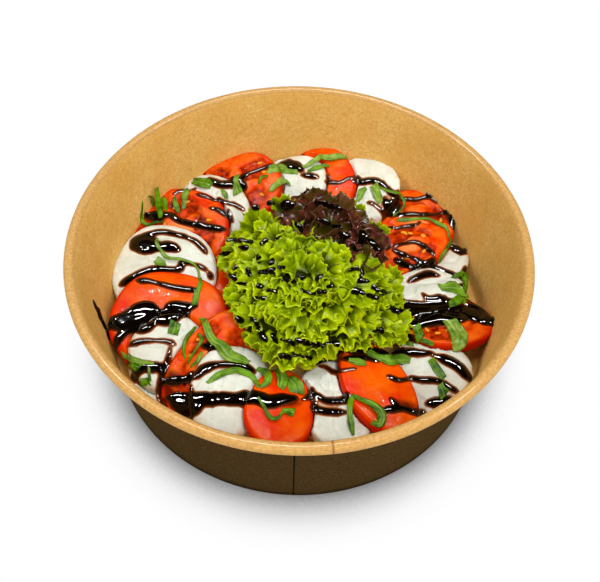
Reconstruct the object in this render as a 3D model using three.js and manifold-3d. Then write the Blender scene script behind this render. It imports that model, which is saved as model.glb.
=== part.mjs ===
// Caprese salad in a round kraft paper bowl.
// Millimetres, +Z up, the bowl stands on z = 0 round the Z axis, and its front is towards -Y.
import * as THREE from 'three';
import { mergeVertices } from 'three/addons/utils/BufferGeometryUtils.js';
import Module from 'manifold-3d';

const solids = await Module();
solids.setup();
const { Manifold, Mesh } = solids;

// ---- driving sizes -------------------------------------------------------------------------
const GAP = 0.3;               // kept between any two nodes
const WELD = 0.002;

const RIM_RADIUS = 92.5;       // outside of the rolled rim
const BOWL_HEIGHT = 63;
const ROLL = 2.3;              // radius of the rim's roll
const PAPER = 0.8;
const BASE_RADIUS = 81;        // outside, where the bowl stands
const FLOOR = 10;              // inside floor above the table
const BOWL_SIDES = 60;
const ROLL_STEPS = 6;

const WALL_LOW = BASE_RADIUS + 0.4;               // inside radius at the floor
const WALL_HIGH = RIM_RADIUS - 2 * ROLL;          // inside radius at the roll's level
const ROLL_LEVEL = BOWL_HEIGHT - ROLL;

const SLICE_SIDES = 18;
const TOMATO_THICK = 7.5;
const MOZZARELLA_THICK = 8.5;
const EDGE = 1.8;              // rounded edge of a slice
const DOME = 1.2;              // a slice is this much higher in the middle

const EYE = [1, -213.8, 315.9];   // where the flat map of the drizzle and the basil is seen from
const MAP_LEVEL = 30;             // height at which that map lies

const RIDGE_SINK = 0.7;        // how far the drizzle reaches into its slice
const RIDGE_STEP = 8;
const BASIL_THICK = 0.8;
const BASIL_STEP = 5;

const LEAF_THICK = 1.1;
const HEAP = [2, -4];          // middle of the lettuce
const HEAP_FOOT = 24;          // radius of the heap between the slices
const HEAP_REACH = 33;         // radius of the heap's core above them

// ---- slices, from the one that lies on all its neighbours down to the lowest ------------------
// angle round the bowl, reach from its middle, half sizes along the ring and across it, turn,
// height of the top in the middle, and its rise for each mm clockwise and outwards
const slices = [
  { name: 'tomato_s', angle: 264, reach: 57, along: 13.5, across: 18, turn: 0, top: 27, rise: [0.16, 0.02] },
  { name: 'mozzarella_ssw', angle: 242, reach: 55, along: 16, across: 21, turn: 14, top: 26, rise: [0.2, 0.02] },
  { name: 'tomato_sw', angle: 224, reach: 49.5, along: 13, across: 25, turn: 9, top: 25.5, rise: [0.2, -0.2] },
  { name: 'mozzarella_sw', angle: 211, reach: 60, along: 18, across: 17, turn: 0, top: 24, rise: [0.2, 0.05] },
  { name: 'tomato_w', angle: 195, reach: 56.5, along: 22.8, across: 25.4, turn: 0, top: 25, rise: [0.18, 0.03] },
  { name: 'mozzarella_w', angle: 169, reach: 61, along: 23.5, across: 23, turn: 0, top: 24, rise: [0.2, 0.04] },
  { name: 'tomato_nw', angle: 149, reach: 65.5, along: 24.5, across: 22.5, turn: -2, top: 24, rise: [0.2, 0.06] },
  { name: 'mozzarella_nw', angle: 130, reach: 64, along: 16, across: 20, turn: 0, top: 25, rise: [0.2, 0.08] },
  { name: 'tomato_nnw', angle: 118.5, reach: 67, along: 24.5, across: 18.5, turn: 3, top: 26, rise: [0.18, 0.2] },
  { name: 'mozzarella_n', angle: 94, reach: 66, along: 16.5, across: 16, turn: 0, top: 26, rise: [0.18, 0.16] },
  { name: 'tomato_n', angle: 83, reach: 65, along: 17.3, across: 20.4, turn: 0, top: 26, rise: [0.16, 0.3] },
  { name: 'mozzarella_ne', angle: 66, reach: 68.5, along: 18.5, across: 18.5, turn: 0, top: 27, rise: [0.14, 0.24] },
  { name: 'mozzarella_e', angle: 5.2, reach: 56.2, along: 11.8, across: 17, turn: 0, top: 26, rise: [0.12, 0.02] },
  { name: 'tomato_ene', angle: 29.5, reach: 56, along: 12.2, across: 20.5, turn: 0, top: 26, rise: [-0.1, 0.05] },
  { name: 'tomato_ne', angle: 40.5, reach: 69, along: 20, across: 19, turn: 0, top: 24, rise: [0, 0.14] },
  { name: 'mozzarella_ene', angle: 20.3, reach: 64.5, along: 13, across: 18.5, turn: 14, top: 20, rise: [0.1, 0.05] },
  { name: 'tomato_e', angle: -9, reach: 63, along: 15, across: 21, turn: 0, top: 24, rise: [0.12, 0.12] },
  { name: 'tomato_se', angle: -54, reach: 56.5, along: 13.6, across: 23.5, turn: -10, top: 27, rise: [0.04, 0] },
  { name: 'mozzarella_se', angle: -36.5, reach: 65, along: 21.5, across: 18, turn: 0, top: 22, rise: [-0.12, 0.06] },
  { name: 'mozzarella_sse', angle: -73, reach: 55, along: 14, across: 21.5, turn: 0, top: 24, rise: [0.12, 0.02] },
  { name: 'mozzarella_wsw', angle: 214, reach: 66, along: 15, across: 14, turn: 0, top: 19, rise: [0, 0.02] },
  { name: 'tomato_ssw', angle: 222, reach: 39, along: 13, across: 12, turn: 0, top: 24, rise: [0, 0.02] },
  { name: 'mozzarella_inner', angle: 236, reach: 42, along: 10, across: 12, turn: 0, top: 25, rise: [0, 0.02] },
  { name: 'tomato_wnw', angle: 160, reach: 38, along: 14, across: 11, turn: 0, top: 22, rise: [0, 0] },
];

// ---- thick drizzle: width, then places on the flat map -----------------------------------------
const drizzle = [
  [6, [-73.8, 22], [-70, 19], [-64, 19.6], [-59, 20], [-54, 18.4]],
  [2.6, [-74, 22.6], [-69, 26.2], [-64, 28], [-55, 27], [-48, 24.4], [-43, 20]],
  [3, [-75.6, -2], [-72.6, 1], [-68.4, 4.6], [-63, 6.4], [-51.6, 7.6]],
  [2.6, [-69, 1], [-63, 0.4], [-56.4, -1.4], [-49, -3], [-43, -3.5]],
  [3, [-60, 39.4], [-54, 35], [-48, 33.4], [-42, 32], [-34, 31]],
  [4.5, [-71.4, 37.6], [-66, 37], [-61, 38.8]],
  [3.6, [-43.8, 61.6], [-38.4, 58.6], [-33, 59.2], [-30, 61]],
  [2.4, [-28.8, 62.2], [-26.4, 65.8], [-21, 68.8], [-15.6, 71.8]],
  [4.5, [-11.4, 71.2], [-7.8, 73], [-3, 71.8], [-0.6, 69.4]],
  [2.6, [11.4, 62], [18, 62.2], [23.4, 65.8], [28.2, 62.8], [32.4, 64], [36.6, 62.8], [42, 56.2]],
  [4, [38.4, 53.2], [39.6, 49], [42, 45.4]],
  [2.6, [42, 41.8], [48, 43.6], [60, 43.6], [66, 44.8], [68.4, 40], [70.2, 32.8]],
  [2.6, [41.4, 24.4], [46.8, 26.2], [51.6, 27], [55.2, 24.4], [59.4, 20.2]],
  [3.4, [46.8, 13.6], [52.2, 12.4], [57.6, 13], [66.6, 9.4], [73.2, 2.2], [78, -3.2]],
  [2.8, [47.4, 4.6], [51.6, 7.6], [56.4, 9.4], [60, 8.8]],
  [4.6, [66.6, 25], [70.2, 22.6], [72.6, 20.2]],
  [4, [45.6, -10.8], [57.6, -10.2], [63.6, -9], [70.8, -9]],
  [4.6, [47.4, -17.4], [54, -15.6], [66, -13.8], [72, -12.6], [78, -14.4], [82.8, -14.4]],
  [3, [20.4, -31.2], [31.2, -31.2], [40.8, -30.6], [50.4, -31.8], [54.6, -31.2]],
  [4.6, [55.2, -32.4], [60, -34.2], [64.8, -37.2], [70.2, -43.8]],
  [2.6, [36.6, -42.6], [45.6, -43.5], [57, -44.4], [64.2, -49.8]],
  [3.4, [33.6, -58.2], [42, -57], [49.8, -58.8]],
  [3, [3, -54.6], [7.8, -52.2], [12, -54.6], [21, -54]],
  [6, [-78, -22.2], [-73.2, -19.2], [-67.2, -15], [-62.4, -13.8], [-56.4, -18.6], [-46.8, -12.6]],
  [5, [-63.6, -46.8], [-61.2, -42.6], [-56.4, -42], [-52.8, -42.6]],
  [5, [-49.2, -55.2], [-38.4, -55.8], [-22.2, -55.2], [-15.6, -54], [-10.2, -55.8], [0, -54]],
  [3.4, [-51.6, -48.6], [-44.4, -47.4], [-37.2, -42.6], [-26.4, -39.6], [-16.8, -42.6]],
];

// ---- basil strips: name, width, then places on the flat map -------------------------------------
const basil = [
  ['basil_nw_low', 2.5, [-73.2, 37], [-70.2, 31.6], [-61.8, 34]],
  ['basil_nw_inner', 2.6, [-58.8, 49], [-57.6, 43], [-55.2, 41.2]],
  ['basil_nw_right', 2.6, [-54.6, 51.4], [-54, 43.6]],
  ['basil_nnw_piece', 6, [-51, 61], [-46.8, 58.6], [-42.6, 56.8]],
  ['basil_nnw_spike', 3.4, [-31.2, 65.2], [-30.6, 59.8], [-28.2, 53.8]],
  ['basil_n_left', 4, [-19.8, 60.4], [-18, 64], [-14.4, 69.4], [-6, 67], [-1.8, 68.2]],
  ['basil_n_low', 4, [-14.4, 54.4], [-11.4, 58.6], [-7.2, 61]],
  ['basil_n_back', 4, [0, 71.2], [4.8, 75.4], [10.8, 77.8], [16.8, 79.6]],
  ['basil_ne_left', 3, [25.8, 51.4], [27.6, 56.2], [30.6, 59.2]],
  ['basil_ne_right', 4, [32.4, 61], [36, 55], [35.4, 49.6]],
  ['basil_ne_long', 2, [43.8, 39.4], [51, 40], [57.6, 40], [63.6, 37.6], [66, 33.4]],
  ['basil_e_leaf', 7, [60, 1.6], [64.8, 5.2], [70.8, 8.2]],
  ['basil_e_edge', 3.4, [72, 2.2], [67.8, -1.4], [63, -6]],
  ['basil_e_strip', 4, [48, -18.6], [49.8, -24.6]],
  ['basil_e_broad', 7.5, [62, -16.2], [65.4, -21], [66, -27]],
  ['basil_se_strip', 3, [50.4, -26.6], [55.8, -29.2]],
  ['basil_se_top', 5, [22, -38], [33, -35], [45, -36]],
  ['basil_se_right', 3.5, [56.4, -39], [58.8, -45], [57, -49.8]],
  ['basil_s_curl', 2.6, [21, -54], [22.2, -63], [22.8, -69]],
  ['basil_s_tail', 3.6, [22.8, -53.4], [28.8, -55.2], [33.6, -59.4], [32.4, -64.8]],
  ['basil_w_stem', 1.8, [-63, 19.6], [-57.6, 13], [-52.8, 11.2], [-45.6, 10], [-42.6, 4.6]],
  ['basil_w_bit', 5, [-63, 8.6], [-57.6, 12.4]],
  ['basil_w_low', 2.4, [-43.2, -5], [-43.4, -11]],
  ['basil_sw_square', 4, [-50.4, -19.8], [-48.6, -26.4]],
  ['basil_sw_long', 4.6, [-38.4, -18.6], [-36, -27], [-32.4, -31.8], [-27, -36], [-19.8, -38.4]],
  ['basil_sw_arc', 2.5, [-34.8, -49.2], [-30, -45], [-24, -42.9], [-18, -45]],
  ['basil_sw_low', 3.4, [-69.6, -37.8], [-63.6, -39], [-57.6, -40.2]],
  ['basil_s_left', 6, [-12.6, -41.4], [-10.2, -45.6], [-12, -50.4]],
  ['basil_s_right', 6, [-2, -43], [-1, -51]],
  ['basil_s_low', 3.4, [-14.4, -55.8], [-9, -63.6], [-4.8, -62.4]],
];

// One strip stands up and leans to the wall: its real places from the foot to the tip.
const standingBasil = [[-64.2, 39, 27.4], [-64.6, 42, 29.4], [-65.2, 44.6, 34], [-65.8, 47.2, 38.6]];
const STANDING_WIDTH = 3.4;

// ---- small helpers --------------------------------------------------------------------------------
const radians = (degrees) => degrees * Math.PI / 180;

function random(seed) {
  const wave = Math.sin(seed * 12.9898 + 4.1414) * 43758.5453;
  return wave - Math.floor(wave);
}

function makeSolid(points, faces) {
  const vertProperties = Float32Array.from(points.flat());
  const triVerts = Uint32Array.from(faces.flat());
  return new Manifold(new Mesh({ numProp: 3, vertProperties, triVerts }));
}

// Joins rings of equal length, top ring first, each counter-clockwise from above.
function loft(rings, topCentre, bottomCentre) {
  const count = rings[0].length;
  const points = [...rings.flat(), topCentre, bottomCentre];
  const top = points.length - 2;
  const bottom = points.length - 1;
  const last = (rings.length - 1) * count;
  const faces = [];
  for (let j = 0; j < count; j += 1) {
    const next = (j + 1) % count;
    faces.push([top, j, next], [bottom, last + next, last + j]);
    for (let i = 0; i < last; i += count) {
      faces.push([i + j, i + count + j, i + count + next], [i + j, i + count + next, i + next]);
    }
  }
  return makeSolid(points, faces);
}

// A sheet of points, rows by columns, thickened downwards: both faces are split alike.
function sheet(rows, thickness) {
  const height = rows.length;
  const width = rows[0].length;
  const upper = rows.flat();
  const lower = upper.map(([x, y, z]) => [x, y, z - thickness]);
  const under = upper.length;
  const faces = [];
  for (let i = 0; i + 1 < height; i += 1) {
    for (let j = 0; j + 1 < width; j += 1) {
      const a = i * width + j;
      const b = a + width;
      faces.push([a, a + 1, b + 1], [a, b + 1, b]);
      faces.push([under + a, under + b + 1, under + a + 1], [under + a, under + b, under + b + 1]);
    }
  }
  const rim = [];
  for (let j = 0; j < width; j += 1) rim.push(j);
  for (let i = 1; i < height; i += 1) rim.push(i * width + width - 1);
  for (let j = width - 2; j >= 0; j -= 1) rim.push((height - 1) * width + j);
  for (let i = height - 2; i > 0; i -= 1) rim.push(i * width);
  rim.forEach((a, k) => {
    const b = rim[(k + 1) % rim.length];
    faces.push([a, under + b, b], [a, under + a, under + b]);
  });
  const made = makeSolid([...upper, ...lower], faces);
  return made.volume() > 0 ? made : makeSolid([...upper, ...lower], faces.map(([a, b, c]) => [a, c, b]));
}

// Vertices closer than WELD become one, so that nothing is left that only just touches itself.
function weld(made) {
  const data = made.getMesh();
  const geometry = new THREE.BufferGeometry();
  geometry.setAttribute('position', new THREE.BufferAttribute(data.vertProperties, 3));
  geometry.setIndex(new THREE.BufferAttribute(data.triVerts, 1));
  const merged = mergeVertices(geometry, WELD);
  const vertProperties = Float32Array.from(merged.attributes.position.array);
  const triVerts = Uint32Array.from(merged.index.array);
  return new Manifold(new Mesh({ numProp: 3, vertProperties, triVerts }));
}

function largestBody(made) {
  return weld(made).decompose().sort((a, b) => b.volume() - a.volume())[0];
}

// Points along a smooth line through the given ones, about one step apart.
function smoothLine(places, step) {
  const curve = new THREE.CatmullRomCurve3(places.map(([x, y]) => new THREE.Vector3(x, y, 0)));
  const count = Math.max(2, Math.round(curve.getLength() / step));
  return curve.getSpacedPoints(count).map((p) => [p.x, p.y]);
}

// The place at a height that the eye sees at this place of the flat map.
function slide([x, y], height) {
  const share = (height - MAP_LEVEL) / (EYE[2] - MAP_LEVEL);
  return [x + (EYE[0] - x) * share, y + (EYE[1] - y) * share];
}

function wallRadius(z) {
  return WALL_LOW + (WALL_HIGH - WALL_LOW) * (z - FLOOR) / (ROLL_LEVEL - FLOOR);
}

function insideWall([x, y, z], clearance) {
  const radius = Math.hypot(x, y);
  const limit = wallRadius(z) - clearance;
  return radius > limit ? [x * limit / radius, y * limit / radius, z] : [x, y, z];
}

// ---- the bowl ------------------------------------------------------------------------------------
function bowl() {
  const rollCentre = RIM_RADIUS - ROLL;
  const profile = [
    [0, FLOOR - PAPER],
    [BASE_RADIUS - 0.4 - PAPER, FLOOR - PAPER],
    [BASE_RADIUS - 1.4, 0],
    [BASE_RADIUS, 0],
    [WALL_HIGH + PAPER, ROLL_LEVEL - ROLL],
  ];
  for (let i = 0; i <= ROLL_STEPS; i += 1) {
    const angle = radians(-90 + 270 * i / ROLL_STEPS);
    profile.push([rollCentre + ROLL * Math.cos(angle), ROLL_LEVEL + ROLL * Math.sin(angle)]);
  }
  profile.push([WALL_LOW, FLOOR], [0, FLOOR]);
  return Manifold.revolve([profile], BOWL_SIDES);
}

// The space inside the bowl, a little clear of its wall and floor.
function roomInBowl() {
  const clearance = 2 * GAP;
  const height = ROLL_LEVEL - FLOOR;
  const room = Manifold.cylinder(height, WALL_LOW - clearance, WALL_HIGH - clearance, BOWL_SIDES);
  return room.translate([0, 0, FLOOR + GAP]);
}

// ---- slices ----------------------------------------------------------------------------------------
function sliceFrame(slice) {
  const angle = radians(slice.angle);
  const outward = [Math.cos(angle), Math.sin(angle)];
  const clockwise = [outward[1], -outward[0]];
  const middle = [slice.reach * outward[0], slice.reach * outward[1]];
  return { outward, clockwise, middle };
}

function sliceTop(slice, [x, y]) {
  const { outward, clockwise, middle } = sliceFrame(slice);
  const dx = x - middle[0];
  const dy = y - middle[1];
  const round = dx * clockwise[0] + dy * clockwise[1];
  const out = dx * outward[0] + dy * outward[1];
  return slice.top + slice.rise[0] * round + slice.rise[1] * out;
}

// How far out a place lies in the slice's outline: 1 on its edge.
function sliceShare(slice, [x, y]) {
  const { outward, clockwise, middle } = sliceFrame(slice);
  const dx = x - middle[0];
  const dy = y - middle[1];
  const turn = radians(slice.turn);
  const round = dx * clockwise[0] + dy * clockwise[1];
  const out = dx * outward[0] + dy * outward[1];
  const a = round * Math.cos(turn) + out * Math.sin(turn);
  const b = out * Math.cos(turn) - round * Math.sin(turn);
  return Math.hypot(a / slice.along, b / slice.across);
}

function sliceRing(slice, share, grow, level) {
  const { outward, clockwise, middle } = sliceFrame(slice);
  const turn = radians(slice.turn);
  const ring = [];
  for (let i = 0; i < SLICE_SIDES; i += 1) {
    const t = 2 * Math.PI * i / SLICE_SIDES;
    const lobes = 1 + 0.025 * Math.sin(3 * t + slice.angle) + 0.015 * Math.sin(5 * t + slice.reach);
    const a = share * (slice.along * lobes + grow) * Math.cos(t);
    const b = share * (slice.across * lobes + grow) * Math.sin(t);
    const round = a * Math.cos(turn) - b * Math.sin(turn);
    const out = a * Math.sin(turn) + b * Math.cos(turn);
    const x = middle[0] + round * clockwise[0] + out * outward[0];
    const y = middle[1] + round * clockwise[1] + out * outward[1];
    ring.push([x, y, level(sliceTop(slice, [x, y]))]);
  }
  return ring;
}

function thickness(slice) {
  return slice.name.startsWith('tomato') ? TOMATO_THICK : MOZZARELLA_THICK;
}

function sliceSolid(slice) {
  const deep = thickness(slice);
  const rings = [
    sliceRing(slice, 0.82, 0, (top) => top + DOME * 0.3),
    sliceRing(slice, 1, 0, (top) => top - EDGE),
    sliceRing(slice, 1, 0, (top) => top - deep + EDGE),
    sliceRing(slice, 0.86, 0, (top) => top - deep),
  ];
  const fitted = rings.map((ring) => ring.map(([x, y, z]) => {
    return insideWall([x, y, Math.max(z, FLOOR + GAP)], GAP + 0.3);
  }));
  const { middle } = sliceFrame(slice);
  const under = Math.max(slice.top - deep, FLOOR + GAP);
  return loft(fitted, [...middle, slice.top + DOME], [...middle, under]);
}

// The space that a slice and all above it take from the lower ones.
function sliceCutter(slice) {
  const deep = thickness(slice);
  const high = BOWL_HEIGHT;
  const rings = [
    sliceRing(slice, 1, GAP, () => high),
    sliceRing(slice, 1, GAP, (top) => top - deep + EDGE - GAP),
    sliceRing(slice, 0.86, GAP, (top) => top - deep - GAP),
  ];
  const { middle } = sliceFrame(slice);
  return loft(rings, [...middle, high], [...middle, slice.top - deep - GAP]);
}

function slicePrism(slice, share) {
  const rings = [sliceRing(slice, share, 0, () => BOWL_HEIGHT), sliceRing(slice, share, 0, () => 0)];
  const { middle } = sliceFrame(slice);
  return loft(rings, [...middle, BOWL_HEIGHT], [...middle, 0]);
}

function topSlice(place) {
  return slices.find((slice) => sliceShare(slice, slide(place, sliceTop(slice, place))) < 1);
}

// ---- drizzle ---------------------------------------------------------------------------------------
function ridge(places, width, slice) {
  const onSlice = places.map((place) => {
    const [x, y] = slide(place, sliceTop(slice, place));
    const share = sliceShare(slice, [x, y]);
    return [x, y, sliceTop(slice, [x, y]) + DOME * (1 - share * share) - 0.2];
  });
  const high = Math.min(2.2, 0.3 + 0.36 * width);
  const shape = [[0.5, -RIDGE_SINK], [0.26, high], [-0.26, high], [-0.5, -RIDGE_SINK]];
  const last = onSlice.length - 1;
  const sections = onSlice.map(([x, y, z], i) => {
    const before = onSlice[Math.max(0, i - 1)];
    const after = onSlice[Math.min(last, i + 1)];
    const length = Math.hypot(after[0] - before[0], after[1] - before[1]);
    const side = [(before[1] - after[1]) / length, (after[0] - before[0]) / length];
    const swell = 1 + 0.16 * Math.sin(2.1 * i + width);
    const size = width * swell * (i === 0 || i === last ? 0.6 : 1);
    return shape.map(([across, lift]) => {
      return [x + side[0] * across * size, y + side[1] * across * size, z + lift];
    });
  });
  const corners = shape.length;
  const faces = [];
  for (let i = 0; i < last; i += 1) {
    for (let j = 0; j < corners; j += 1) {
      const a = i * corners + j;
      const b = i * corners + (j + 1) % corners;
      faces.push([a, b, b + corners], [a, b + corners, a + corners]);
    }
  }
  for (let j = 1; j + 1 < corners; j += 1) {
    faces.push([0, j + 1, j], [last * corners, last * corners + j, last * corners + j + 1]);
  }
  const points = sections.flat();
  const made = makeSolid(points, faces);
  return made.volume() > 0 ? made : makeSolid(points, faces.map(([a, b, c]) => [a, c, b]));
}

// Splits a line where it passes from one slice to another, with a little overlap.
function runsOfLine(line) {
  const runs = [];
  const places = smoothLine(line, RIDGE_STEP);
  places.forEach((place, i) => {
    const slice = topSlice(place);
    const current = runs[runs.length - 1];
    if (current && current.slice === slice) {
      current.places.push(place);
    } else {
      if (current) current.places.push(place);
      runs.push({ slice, places: i > 0 ? [places[i - 1], place] : [place] });
    }
  });
  return runs.filter((run) => run.slice && run.places.length > 1);
}

function dressSlices() {
  const runs = drizzle.flatMap(([width, ...line]) => {
    return runsOfLine(line).map((run) => ({ ...run, width }));
  });
  return slices.map((slice, index) => {
    const own = runs.filter((run) => run.slice === slice).map((run) => ridge(run.places, run.width, slice));
    let made = sliceSolid(slice);
    if (own.length) {
      made = made.add(Manifold.union(own).intersect(slicePrism(slice, 0.96)).intersect(roomInBowl()));
    }
    for (const upper of slices.slice(0, index)) {
      made = made.subtract(sliceCutter(upper));
    }
    return { name: slice.name, solid: largestBody(made.simplify(0.3)) };
  });
}

// ---- basil -----------------------------------------------------------------------------------------
const downwards = new THREE.Vector3(0, 0, -1);

function highestUnder(meshes, x, y) {
  const ray = new THREE.Raycaster(new THREE.Vector3(x, y, 2 * BOWL_HEIGHT), downwards);
  const hit = ray.intersectObjects(meshes, false)[0];
  return hit ? hit.point.z : FLOOR;
}

function basilStrip(width, line, meshes) {
  const around = [-0.5, 0, 0.5];
  const places = smoothLine(line, BASIL_STEP).map((place) => slide(place, MAP_LEVEL - 1));
  const last = places.length - 1;
  const rows = places.map(([x, y], i) => {
    const before = places[Math.max(0, i - 1)];
    const after = places[Math.min(last, i + 1)];
    const length = Math.hypot(after[0] - before[0], after[1] - before[1]);
    const along = [(after[0] - before[0]) / length, (after[1] - before[1]) / length];
    const half = 0.5 * width * (i === 0 || i === last ? 0.6 : 1);
    let rest = FLOOR;
    for (let step = -1; step <= 1; step += 0.25) {
      for (const side of around) {
        const px = x + along[0] * step * BASIL_STEP - along[1] * side * 1.3 * width;
        const py = y + along[1] * step * BASIL_STEP + along[0] * side * 1.3 * width;
        rest = Math.max(rest, highestUnder(meshes, px, py));
      }
    }
    const lift = rest + GAP + BASIL_THICK + 0.1;
    const wave = 0.5 + 0.5 * Math.sin(1.9 * i + width);
    return [-1, 0, 1].map((side) => {
      const z = lift + (side === 0 ? 0 : 0.5 * wave);
      return insideWall([x - along[1] * side * half, y + along[0] * side * half, z], 1);
    });
  });
  return sheet(rows, BASIL_THICK);
}

function standingStrip(width, line) {
  const rows = line.map(([x, y, z], i) => {
    const half = 0.5 * width * (i === line.length - 1 ? 0.4 : 1);
    return [-1, 0, 1].map((side) => [x + side * half, y, z + 0.3 * side * side]);
  });
  return sheet(rows, BASIL_THICK);
}

// ---- lettuce ---------------------------------------------------------------------------------------
// A frilly leaf: it opens like a fan from its root and its edge is ruffled.
function frillyLeaf(leaf) {
  const { root, heading, climb, reach, spread, ruffle, seed } = leaf;
  const columns = 7;
  const shares = [0.25, 0.62, 1];
  const rows = shares.map((share) => {
    const row = [];
    for (let j = 0; j < columns; j += 1) {
      const across = 2 * j / (columns - 1) - 1;
      const angle = radians(heading + spread * across);
      const notch = j % 2 === 0 ? 1 : 0.86;
      const length = reach * share * (share === 1 ? notch : 1);
      const wave = ruffle * share * share * Math.sin(2.2 * j + seed);
      const bend = Math.sin(radians(climb)) * share * reach * (1 - 0.25 * share);
      const flat = length * Math.cos(radians(climb) * (1 - 0.4 * share));
      row.push([root[0] + flat * Math.cos(angle), root[1] + flat * Math.sin(angle), root[2] + bend + wave]);
    }
    return row;
  });
  return sheet(rows, LEAF_THICK);
}

// A lumpy dome: radius and height of each ring, from the top down.
function lumpyDome(centre, rings, stretch, turn, sides) {
  const made = rings.map(([radius, z]) => {
    const ring = [];
    for (let i = 0; i < sides; i += 1) {
      const t = 2 * Math.PI * i / sides;
      const lump = 1 + 0.05 * Math.sin(3 * t + z) + 0.03 * Math.sin(7 * t + radius);
      const a = radius * lump * stretch * Math.cos(t);
      const b = radius * lump * Math.sin(t);
      const c = Math.cos(radians(turn));
      const s = Math.sin(radians(turn));
      ring.push([centre[0] + a * c - b * s, centre[1] + a * s + b * c, z]);
    }
    return ring;
  });
  const top = [...centre, rings[0][1] + 1.2];
  const bottom = [...centre, rings[rings.length - 1][1]];
  return loft(made, top, bottom);
}

// Leaves set round a ring, leaving out a range of headings.
function leafRing(count, radius, level, climb, reach, spread, ruffle, skip, seed) {
  const leaves = [];
  for (let i = 0; i < count; i += 1) {
    const heading = 360 * (i + 0.5 * random(seed + i)) / count;
    if (heading > skip[0] && heading < skip[1]) continue;
    const turn = radians(heading);
    leaves.push({
      root: [HEAP[0] + radius * Math.cos(turn), HEAP[1] + radius * Math.sin(turn), level + 2 * random(seed + 2 * i)],
      heading: heading + 20 * (random(seed + 3 * i) - 0.5),
      climb: climb + 12 * (random(seed + 5 * i) - 0.5),
      reach: reach * (0.85 + 0.3 * random(seed + 7 * i)),
      spread,
      ruffle,
      seed: 9 * random(seed + 11 * i),
    });
  }
  return leaves;
}

const RED_MIDDLE = [12.5, 24];
const RED_TURN = -38;
const redLeaves = [
  { root: [-1, 34, 41], heading: 140, climb: 20, reach: 14, spread: 55, ruffle: 1.6, seed: 1 },
  { root: [5, 34, 43], heading: 100, climb: 30, reach: 15, spread: 50, ruffle: 1.6, seed: 2 },
  { root: [13, 31, 43], heading: 60, climb: 30, reach: 15, spread: 50, ruffle: 1.6, seed: 3 },
  { root: [22, 22, 42], heading: 35, climb: 25, reach: 14, spread: 50, ruffle: 1.6, seed: 4 },
  { root: [26, 13, 41], heading: -15, climb: 25, reach: 13, spread: 55, ruffle: 1.6, seed: 5 },
  { root: [17, 17, 43], heading: -80, climb: 35, reach: 14, spread: 50, ruffle: 1.6, seed: 6 },
  { root: [5, 27, 43], heading: -120, climb: 40, reach: 12, spread: 50, ruffle: 1.6, seed: 7 },
];

// Green leaves that lie low behind the red ones.
const backLeaves = [
  { root: [-1, 18, 27.5], heading: 108, climb: 3, reach: 33, spread: 20, ruffle: 1.2, seed: 1 },
  { root: [3, 18, 28.5], heading: 84, climb: 3, reach: 34, spread: 20, ruffle: 1.2, seed: 2 },
  { root: [8, 16, 28], heading: 58, climb: 3, reach: 34, spread: 20, ruffle: 1.2, seed: 4 },
];

function redLettuce() {
  const rings = [[8, 44.5], [12, 41], [13.5, 36], [11, 32]];
  const core = lumpyDome(RED_MIDDLE, rings, 1.6, RED_TURN, 14);
  return largestBody(Manifold.union([core, ...redLeaves.map(frillyLeaf)]));
}

// The solid with a clear margin round it, made of copies moved along each axis.
function withMargin(made, margin) {
  const moves = [[margin, 0, 0], [-margin, 0, 0], [0, margin, 0], [0, -margin, 0], [0, 0, margin], [0, 0, -margin]];
  return Manifold.union([made, ...moves.map((move) => made.translate(move))]);
}

function greenLettuce() {
  const rings = [
    [16, 49], [26, 45], [HEAP_REACH, 39], [HEAP_REACH + 1, 35], [HEAP_REACH - 3, 31.5],
    [HEAP_FOOT, 28], [HEAP_FOOT, FLOOR + GAP],
  ];
  const core = lumpyDome(HEAP, rings, 1, 0, 20);
  const leaves = [
    ...leafRing(11, 27, 34, 8, 15, 36, 1.8, [200, 200], 1),
    ...leafRing(8, 20, 41, 28, 17, 42, 2, [15, 115], 2),
    ...backLeaves,
    ...leafRing(5, 9, 47, 42, 14, 55, 2, [15, 115], 3),
  ].map(frillyLeaf);
  const heap = Manifold.union([core, ...leaves]).subtract(withMargin(redLettuce(), 2 * GAP).hull());
  return largestBody(heap.simplify(0.1));
}

// ---- nodes -----------------------------------------------------------------------------------------
const COLOURS = {
  bowl: 0xc8935a, tomato: 0xd9401c, mozzarella: 0xf1eee2, basil: 0x4f8a2a, green: 0x9bc41c, red: 0x5b2a2a,
};

function node(name, made, colour) {
  const data = made.getMesh();
  const geometry = new THREE.BufferGeometry();
  geometry.setAttribute('position', new THREE.BufferAttribute(data.vertProperties, 3));
  geometry.setIndex(new THREE.BufferAttribute(data.triVerts, 1));
  const merged = mergeVertices(geometry, 1e-5);
  merged.computeVertexNormals();
  const mesh = new THREE.Mesh(merged, new THREE.MeshStandardMaterial({ color: colour }));
  mesh.name = name;
  mesh.updateMatrixWorld();
  return mesh;
}

// Cuts a piece back wherever it comes closer than GAP to one that is already in place.
function clearOf(made, placed) {
  const near = placed.filter((other) => made.minGap(other, GAP) < 0.9 * GAP);
  return near.reduce((left, other) => largestBody(left.subtract(withMargin(other, GAP))), made);
}

const group = new THREE.Group();
group.name = 'caprese_salad';
const placed = [];

function place(name, made, colour) {
  placed.push(made);
  group.add(node(name, made, colour));
}

place('bowl', bowl(), COLOURS.bowl);
for (const { name, solid } of dressSlices()) {
  place(name, solid, name.startsWith('tomato') ? COLOURS.tomato : COLOURS.mozzarella);
}
for (const [name, width, ...line] of basil) {
  place(name, clearOf(basilStrip(width, line, group.children.slice(1)), placed), COLOURS.basil);
}
place('basil_nw_tall', clearOf(standingStrip(STANDING_WIDTH, standingBasil), placed), COLOURS.basil);
place('lettuce_red', redLettuce(), COLOURS.red);
place('lettuce_green', clearOf(greenLettuce(), placed), COLOURS.green);

export default group;
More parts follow.
